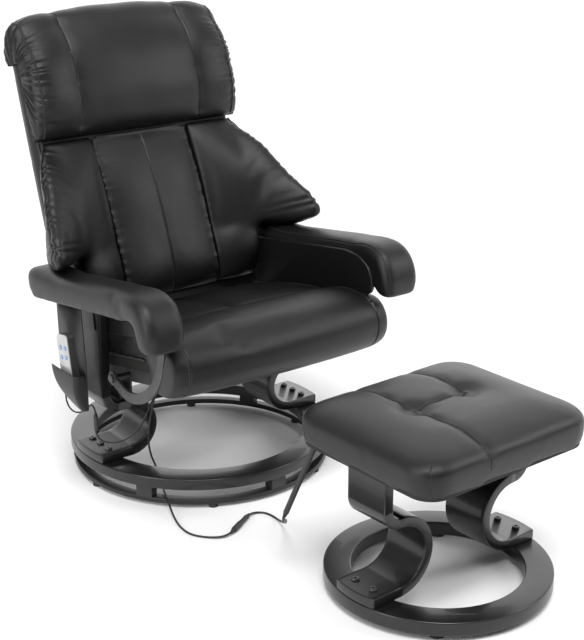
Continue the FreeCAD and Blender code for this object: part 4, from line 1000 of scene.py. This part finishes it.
def seat_nose(p):
    wider = 0.022 * rise(-p.y, 0.18, 0.27) * rise(abs(p.x), 0.15, 0.25) * (1 - 0.6 * rise(p.z, 0.06, 0.11))
    return p + Vector((math.copysign(wider, p.x), 0, 0))


stuff(seat_skin, seat, seat_held, seat_seams, seat_limit)
coax(seat_skin, seat, seat_nose)
seat_cross = sew(seat_skin, seat, (0, cross_seam_y, 0), (0, 1, 0),
                 lambda p, n: p.z > 0.05 and abs(p.x) < 0.244, lambda p: p.x)
sew(seat_skin, seat, (0, 0, 0), (1, 0, 0),
    lambda p, n: p.z > 0.05 and cross_seam_y < p.y < 0.08, lambda p: p.y)


def round_the_nose(p):
    return math.atan2(p.z - 0.02, -p.y - 0.12)


seat_sides = sew_both(seat_skin, seat, side_seam_x, lambda p, n: p.z > 0.055 or p.y < -0.232, round_the_nose,
                      depth=0.002)
finish_cushion(seat_skin, "seat_cushion")
stitch("seat_stitching", seat_skin, [seat_cross], "seat_cushion")
stitch("seat_side_stitching", seat_skin, seat_sides, "seat_cushion", aside=0.0035)

# %% Seat piping
seat_low = 0.033
seat_rim = [[(seat @ Vector((side * 0.262, y, seat_low)), Vector((side, 0, 0)))
             for y in (-0.215, -0.15, -0.08, 0.0, 0.075)] for side in (-1, 1)]
piping("seat_piping", seat_skin, seat_rim, "seat_cushion")

# %% [markdown]
# ### Back
# The middle of the back is a long panel with one seam down it, sunk between two wings that swell
# out over the arms. The wings are gathered along their outer seams.

# %% Back cushion
back_skin = skin_over("back_cushion_sewn", "back_cushion", "back_motors")
board_face, cushion_low, cushion_high = -0.027, 0.074, 0.4528


def back_held(p):
    return p.y > board_face or abs(p.x) > 0.1195 or p.z > 0.4495


def back_limit(p):
    return boxed(p, (-0.1226, 0.1226), (-0.080, far), (cushion_low, cushion_high))


stuff(back_skin, back, back_held, (), back_limit, draw_in=0.004, cap=0.009)
back_middle = sew(back_skin, back, (0, 0, 0), (1, 0, 0), lambda p, n: p.y < -0.03, lambda p: p.z, depth=0.004)
gather(back_skin, back, lambda p: (max(0.0, 0.120 - abs(p.x)) if p.y < -0.03 else far, p.z),
       depth=0.002, reach=0.008, pitch=0.030)
finish_cushion(back_skin, "back_cushion")
stitch("back_stitching", back_skin, [back_middle], "back_cushion", aside=0.004)

# %% Wings
wing_rows = ((0.0, 0.955, 0.78), (0.07, 0.995, 0.83), (0.31, 0.915, 0.63), (0.62, 0.785, 0.38),
             (0.91, 0.612, 0.09), (1.0, 0.55, 0.04))
between_arms = 0.2405
wing_edge = [Vector((0.1233 + x * 0.2127, -0.0219 - y * 0.176, 0.197 + z * 0.256)) for z, x, y in wing_rows]


def wing_held(p):
    return p.x < 0.1262 or p.y > board_face


def wing_limit(p):
    low = 0.189 if p.x > between_arms else 0.078
    wide = between_arms if p.z < 0.188 else 0.350
    return boxed(p, (0.1236, wide), (-0.214, far), (low, cushion_high))


wing_skin = skin_over("wing_left_sewn", "wing_left")
stuff(wing_skin, back, wing_held, (lambda p: along_line(p, wing_edge)[0],), wing_limit,
      draw_in=0.001, cap=0.022, seam_depth=0.001, seam_width=0.006, pressure=6.0, turns=12)


def wing_tip(p):
    tip = rise(p.x, 0.235, 0.300) * (1 - rise(p.z, 0.195, 0.265))
    return p + Vector((0.006 * tip, -0.002 * tip, -0.017 * tip))


def tip_folds(p):
    distance = along_line(p, wing_edge)[0] + 3 * max(0.0, p.z - 0.232) + max(0.0, 0.25 - p.x)
    return distance, p.z - 0.16 * p.x - 0.10 * p.y


coax(wing_skin, back, wing_tip)
gather(wing_skin, back, lambda p: along_line(p, wing_edge), depth=0.0045, reach=0.016, pitch=0.026)
gather(wing_skin, back, tip_folds, depth=0.007, reach=0.036, pitch=0.021)
ease(wing_skin, range(len(wing_skin.data.vertices)), 2)
wing_twin = mirrored_copy("wing_right_sewn", wing_skin)
finish_cushion(wing_skin, "wing_left")
finish_cushion(wing_twin, "wing_right")
wing_line = [(back @ at, Vector((1, 0, 0))) for at in wing_edge]
piping("wing_left_piping", wing_skin, [wing_line], "wing_left", radius=0.0022)
piping("wing_right_piping", wing_twin, [mirrored_line(wing_line)], "wing_right", radius=0.0022)

# %% [markdown]
# ### Head pillow
# A fat roll over the top of the back, sewn in three panels. Its ends are gathered into end panels.

# %% Head pillow
pillow_skin = skin_over("head_pillow_sewn", "head_pillow")
pillow_seam_x, pillow_end_x = 0.150, 0.240


def pillow_held(p):
    return p.y > board_face and p.z < 0.6445


def pillow_seam(p):
    return abs(abs(p.x) - pillow_seam_x) if p.z > 0.47 else far


def pillow_limit(p):
    rear = 0.072 if p.z > 0.6422 else -0.0219
    low = 0.4535 if p.y > -0.066 else 0.4415
    return boxed(p, (-0.262, 0.262), (-0.103, rear), (low, far))


def pillow_ends_droop(p):
    out = rise(abs(p.x), 0.13, 0.262)
    down = (0.005 + 0.018 * out) * rise(p.z, 0.56, 0.70)
    return p + Vector((math.copysign(0.012 * out, p.x), 0, -down))


def round_the_pillow(p):
    return math.atan2(p.z - 0.600, -p.y)


def on_pillow(p, n):
    return p.z > 0.462 and (p.y < -0.03 or p.z > 0.66)


stuff(pillow_skin, back, pillow_held, (pillow_seam,), pillow_limit, draw_in=0.003, cap=0.018, turns=12)
coax(pillow_skin, back, pillow_ends_droop)
gather(pillow_skin, back,
       lambda p: (max(0.0, pillow_end_x - abs(p.x)) if p.y < 0.05 else far, 0.14 * round_the_pillow(p)),
       depth=0.003, reach=0.014, pitch=0.024)
pillow_lines = sew_both(pillow_skin, back, pillow_seam_x, on_pillow, round_the_pillow)
pillow_ends = sew_both(pillow_skin, back, pillow_end_x, lambda p, n: on_pillow(p, n) and abs(n.x) < 0.9,
                       round_the_pillow, depth=0.0015)
finish_cushion(pillow_skin, "head_pillow")
stitch("pillow_stitching", pillow_skin, pillow_lines, "head_pillow", aside=0.0035)
stitch("pillow_end_stitching", pillow_skin, pillow_ends, "head_pillow", aside=0.003)
piping("pillow_piping", pillow_skin, pillow_ends, "head_pillow", radius=0.0022)

# %% [markdown]
# ### Arms
# Each arm is a padded roll over a board, its nose turned down at the front. A stitched seam runs
# along its inner upper edge, down over the nose.

# %% Arm pads
arm_skin = skin_over("arm_pad_left_sewn", "arm_pad_left", voxel=0.005)
arm_line, arm_seam_x, nose_start = 0.292, 0.2555, 0.273


def arm_held(p):
    under = p.z < 0.005 and p.y > -0.255
    on_board = p.z < 0.0145 and -0.0415 < p.x - arm_line < 0.033 and -0.237 < p.y < 0.107
    return under or on_board


def arm_limit(p):
    return boxed(p, (0.2425, 0.346), anywhere, anywhere)


def over_the_nose(p):
    past = -p.y - nose_start
    return -p.y if past < 0 else nose_start + 0.07 * math.atan2(past, p.z + 0.021)


def arm_rear(p):
    end, past_board = rise(p.y, 0.0, 0.135), rise(p.y, 0.100, 0.140)
    lift = 0.012 * end * rise(p.z, 0.0, 0.025) + 0.008 * past_board * (1 - rise(p.z, 0.0, 0.025))
    return p + Vector((0, 0.014 * end, lift))


stuff(arm_skin, arm, arm_held, (), arm_limit, draw_in=0.002, cap=0.012)
coax(arm_skin, arm, arm_rear)
arm_seam = sew(arm_skin, arm, (arm_seam_x, 0, 0), (1, 0, 0),
               lambda p, n: n.z > 0.1 or (n.y < -0.3 and p.y < -0.29), over_the_nose, depth=0.002)
arm_twin = mirrored_copy("arm_pad_right_sewn", arm_skin)
finish_cushion(arm_skin, "arm_pad_left")
finish_cushion(arm_twin, "arm_pad_right")
stitch("arm_left_stitching", arm_skin, [arm_seam], "arm_pad_left", aside=0.0035)
stitch("arm_right_stitching", arm_twin, [mirrored_line(arm_seam)], "arm_pad_right", aside=-0.0035)

# %% [markdown]
# Below that seam the inner side of each arm is a leather panel that reaches down to the seat. Its
# outline is drawn as one face, extruded through its thickness and rounded along its edges.

# %% Arm panels
def cut_panel(x, outline, corner):
    """A flat panel that faces sideways, with rounded corners."""
    drawing = bmesh.new()
    drawing.faces.new([drawing.verts.new((x, y, z)) for y, z in outline])
    round_off(drawing, drawing.verts[:], corner, 5, "VERTICES")
    return drawing


panel_x, panel_t, panel_corner, panel_edge = 0.2421, 0.0109, 0.010, 0.003
drawing = cut_panel(panel_x, (
    (0.148, 0.036), (-0.215, 0.037), (-0.262, 0.028), (-0.292, 0.006), (-0.303, -0.024), (-0.292, -0.052),
    (-0.246, -0.060), (0.060, -0.076), (0.148, -0.086)), panel_corner)
made = bmesh.ops.extrude_face_region(drawing, geom=drawing.faces[:])["geom"]
bmesh.ops.translate(drawing, vec=(panel_t, 0, 0), verts=only(BMVert, made))
face_out(drawing)
round_off(drawing, [e for e in drawing.edges if e.calc_face_angle() > math.radians(60)], panel_edge, 4)
put(drawing, arm)
arm_panel = piece_of("arm_panel_left", drawing, None, body="swivel_base", slot="black_leather")
panel_twin = mirrored_copy("arm_panel_right", arm_panel)
dress(panel_twin, "swivel_base", "black_leather")
print("arm panels of", len(arm_panel.data.polygons), "faces")

# %% [markdown]
# ### Footstool
# A low tufted cushion: it is pulled down at two points, with seams that run through them. Its
# leather is drawn down over the edge of the board, so outside that edge the skin is pulled lower.

# %% Footstool cushion
stool_skin = skin_over("stool_cushion_sewn", "stool_cushion", "stool_motors")
tuft_x, tuft_y = 0.068, 0.009
tufts = (Vector((-tuft_x, tuft_y, 0)), Vector((tuft_x, tuft_y, 0)))


def stool_held(p):
    at_tuft = p.z > 0.335 and min((p.xy - tuft.xy).length for tuft in tufts) < 0.007
    return p.z < 0.307 or at_tuft


stool_seams = (
    lambda p: abs(p.x + tuft_x) if p.z > 0.345 else far,
    lambda p: abs(p.y - tuft_y) if abs(p.x) < tuft_x and p.z > 0.335 else far,
    lambda p: abs(p.x - tuft_x) if p.y > tuft_y and p.z > 0.345 else far,
)


def stool_limit(p):
    return boxed(p, (-0.224, 0.224), (-0.194, 0.194), (0.3023, 0.383))


def stool_crown(p):
    rim = max(rise(abs(p.x), 0.10, 0.21), rise(abs(p.y), 0.08, 0.18))
    past_corner = Vector((max(abs(p.x) - 0.155, 0), max(abs(p.y) - 0.125, 0)))
    past_board = rise(past_corner.length, 0.0495, 0.0545) * (1 - rise(p.z, 0.305, 0.340))
    return p - Vector((0, 0, rise(p.z, 0.325, 0.37) * (0.002 + 0.003 * rim) + 0.019 * past_board))


stuff(stool_skin, stool, stool_held, stool_seams, stool_limit, cap=0.011, seam_depth=0.003)
coax(stool_skin, stool, stool_crown)
stool_lines = [
    sew(stool_skin, stool, (-tuft_x, 0, 0), (1, 0, 0), lambda p, n: p.z > 0.322, lambda p: p.y),
    sew(stool_skin, stool, (tuft_x, 0, 0), (1, 0, 0),
        lambda p, n: p.z > 0.322 and p.y > tuft_y, lambda p: p.y),
    sew(stool_skin, stool, (0, tuft_y, 0), (0, 1, 0),
        lambda p, n: p.z > 0.33 and abs(p.x) < tuft_x, lambda p: p.x),
]
for side in (-1, 1):
    sew(stool_skin, stool, (side * 0.157, -0.127, 0), (1, side, 0),
        lambda p, n: 0.304 < p.z < 0.355 and p.y < -0.13 and p.x * side > 0.15, lambda p: p.z, depth=0.0015)
finish_cushion(stool_skin, "stool_cushion")
stitch("stool_stitching", stool_skin, stool_lines, "stool_cushion", aside=0.0035)

# %% [markdown]
# ## Back cover
# The rear of the back is a padded leather cover over its frame, closed in front by the board and
# open below. One grid gives the rear panel, its rim is extruded forwards for the sides, the corners
# are rounded, and the panel is crowned as padding does. Piping follows its corner.

# %% Back cover
cover_half, cover_low, cover_high, cover_front, cover_rear = 0.240, 0.042, 0.642, -0.0113, 0.041
cover_rows, cover_round, cover_crown, cover_t, cover_seam_z = 4, 0.0135, 0.010, 0.007, 0.430
drawing = bmesh.new()
bmesh.ops.create_grid(drawing, x_segments=32, y_segments=40, size=0.5)
upright = Matrix.Rotation(math.radians(90), 4, "X")
upright.translation = (0, cover_rear, (cover_low + cover_high) / 2)
put(drawing, upright @ Matrix.Diagonal((2 * cover_half, cover_high - cover_low, 1, 1)))


def open_rim(edges):
    """The free edges at the sides and the top that lie in one plane."""
    return [e for e in edges if e.is_boundary and max(v.co.z for v in e.verts) > cover_low + 0.001
            and abs(e.verts[0].co.y - e.verts[1].co.y) < 1e-6]


corner = rim = open_rim(drawing.edges)
for row in range(cover_rows):
    made = bmesh.ops.extrude_edge_only(drawing, edges=rim)["geom"]
    rim = open_rim(only(BMEdge, made))
    forward = (0, (cover_front - cover_rear) / cover_rows, 0)
    bmesh.ops.translate(drawing, vec=forward, verts=only(BMVert, made))


def at_upper_corner(vertex):
    return abs(vertex.co.z - cover_high) < 1e-5 and abs(abs(vertex.co.x) - cover_half) < 1e-5


upper = [e for e in drawing.edges if all(at_upper_corner(v) for v in e.verts)]
round_off(drawing, corner + upper, cover_round, 5)
face_out(drawing)
if sum(face.normal.y * face.calc_area() for face in drawing.faces) < 0:
    bmesh.ops.reverse_faces(drawing, faces=drawing.faces)
for vertex in drawing.verts:
    p = vertex.co
    reach = (1 - (p.x / cover_half) ** 2) * (1 - ((p.z - 0.342) / 0.301) ** 2)
    deep = rise(p.y, cover_front, cover_rear)
    full = 0.009 * rise(p.z, 0.20, 0.30) * deep * (1 - deep) * 4 * rise(abs(p.x), 0.2, 0.24)
    crown = cover_crown * math.sqrt(max(reach, 0)) * deep
    vertex.co = p + Vector((math.copysign(full, p.x), crown, 0))
put(drawing, back)
back_cover = piece_of("back_cover_sewn", drawing, "back_shell")
give_wall(back_cover, cover_t, -1, levels=1)
cover_seam = sew(back_cover, back, (0, 0, cover_seam_z), (0, 0, 1), lambda p, n: n.y > 0.5, lambda p: p.x,
                 depth=0.002)
stitch("cover_stitching", back_cover, [cover_seam], "back_shell", aside=0.004)
print("back cover of", len(back_cover.data.polygons), "faces")

# %% Cover piping
half_line = [(0.205, 0.6385), (0.2325, 0.632), (0.2365, 0.60), (0.2365, 0.30), (0.2365, 0.050)]
whole_line = [(-x, z) for x, z in half_line[::-1]] + half_line
cover_line = [(back @ Vector((x, 0.037, z)), Vector((0, 1, 0))) for x, z in whole_line]
piping("cover_piping", back_cover, [cover_line], "back_shell", radius=0.0024)

# %% [markdown]
# ## Side pocket
# A leather panel hangs from the right arm, with a pouch sewn on it for the handset. The panel is
# one face, extruded. The pouch starts as a bent strip at its narrow foot and is extruded up through
# wider and deeper strips to its mouth, so it hangs like a small bag; its rear is open at the top to
# let the lead out.

# %% Pocket panel
pocket_x, pocket_low, pocket_mouth = -0.3223, 0.204, 0.288
pocket_fore, pocket_wide, pocket_deep, pocket_t = -0.074, 0.110, 0.028, 0.0022
drawing = cut_panel(pocket_x + 0.0006, (
    (-0.061, 0.4346), (0.042, 0.4201), (0.036, 0.288), (0.0162, 0.2502), (-0.0036, 0.2309), (-0.052, 0.204),
    (-0.074, 0.204), (-0.074, 0.288)), 0.009)
panel_cut = sum(face.calc_area() for face in drawing.faces)
bmesh.ops.inset_region(drawing, faces=drawing.faces[:], thickness=0.0018, depth=-0.0006)
middle = [face for face in drawing.faces if len(face.verts) > 4]
bmesh.ops.inset_region(drawing, faces=middle, thickness=0.0025, depth=0.0005)
face_out(drawing)
put(drawing, chair)
pocket_panel = piece_of("pocket_panel", drawing, "side_pocket")
give_wall(pocket_panel, pocket_t, 0)
print("pocket panel cut from", round(panel_cut, 4), "m2")

# %% Pouch
# each strip: how high it lies, how wide and how deep it is, as shares of the mouth
strips = ((0.0, 0.2, 0.35), (0.14, 0.40, 0.60), (0.32, 0.64, 0.84), (0.55, 0.82, 1.02), (0.80, 0.94, 1.03),
          (1.0, 1.0, 0.97))


def strip_points(high, wide, deep):
    z = pocket_low + high * (pocket_mouth - pocket_low)
    aft, face = pocket_fore + wide * pocket_wide, pocket_x - deep * pocket_deep
    return ((pocket_x, pocket_fore, z), (face, pocket_fore, z), (face, aft, z), (pocket_x, aft, z))


def round_the_bag(vertex):
    """Sorts a strip's corners from the panel outwards, along the front and in again."""
    aft = vertex.co.y > pocket_fore + 1e-4
    return aft, vertex.co.x if aft else -vertex.co.x


drawing = bmesh.new()
foot = [drawing.verts.new(at) for at in strip_points(*strips[0])]
edges = [drawing.edges.new(pair) for pair in zip(foot, foot[1:])]
bmesh.ops.contextual_create(drawing, geom=foot)
for strip in strips[1:]:
    made = bmesh.ops.extrude_edge_only(drawing, edges=edges)["geom"]
    edges = only(BMEdge, made)
    for vertex, at in zip(sorted(only(BMVert, made), key=round_the_bag), strip_points(*strip)):
        vertex.co = at
upright_edges = [e for e in drawing.edges if abs(e.verts[0].co.z - e.verts[1].co.z) > 0.005
                 and max(v.co.x for v in e.verts) < pocket_x - 0.005]
face_out(drawing)
round_off(drawing, upright_edges, 0.010, 4)
rear_open = [face for face in drawing.faces if face.normal.y > 0.75 and face.calc_center_median().z > 0.250]
bmesh.ops.delete(drawing, geom=rear_open, context="FACES")
pouch_cut = sum(face.calc_area() for face in drawing.faces)
put(drawing, chair)
pouch = piece_of("pocket_pouch", drawing, "side_pocket")
give_wall(pouch, pocket_t, -1, levels=2)
print("pouch cut from", round(pouch_cut, 4), "m2")
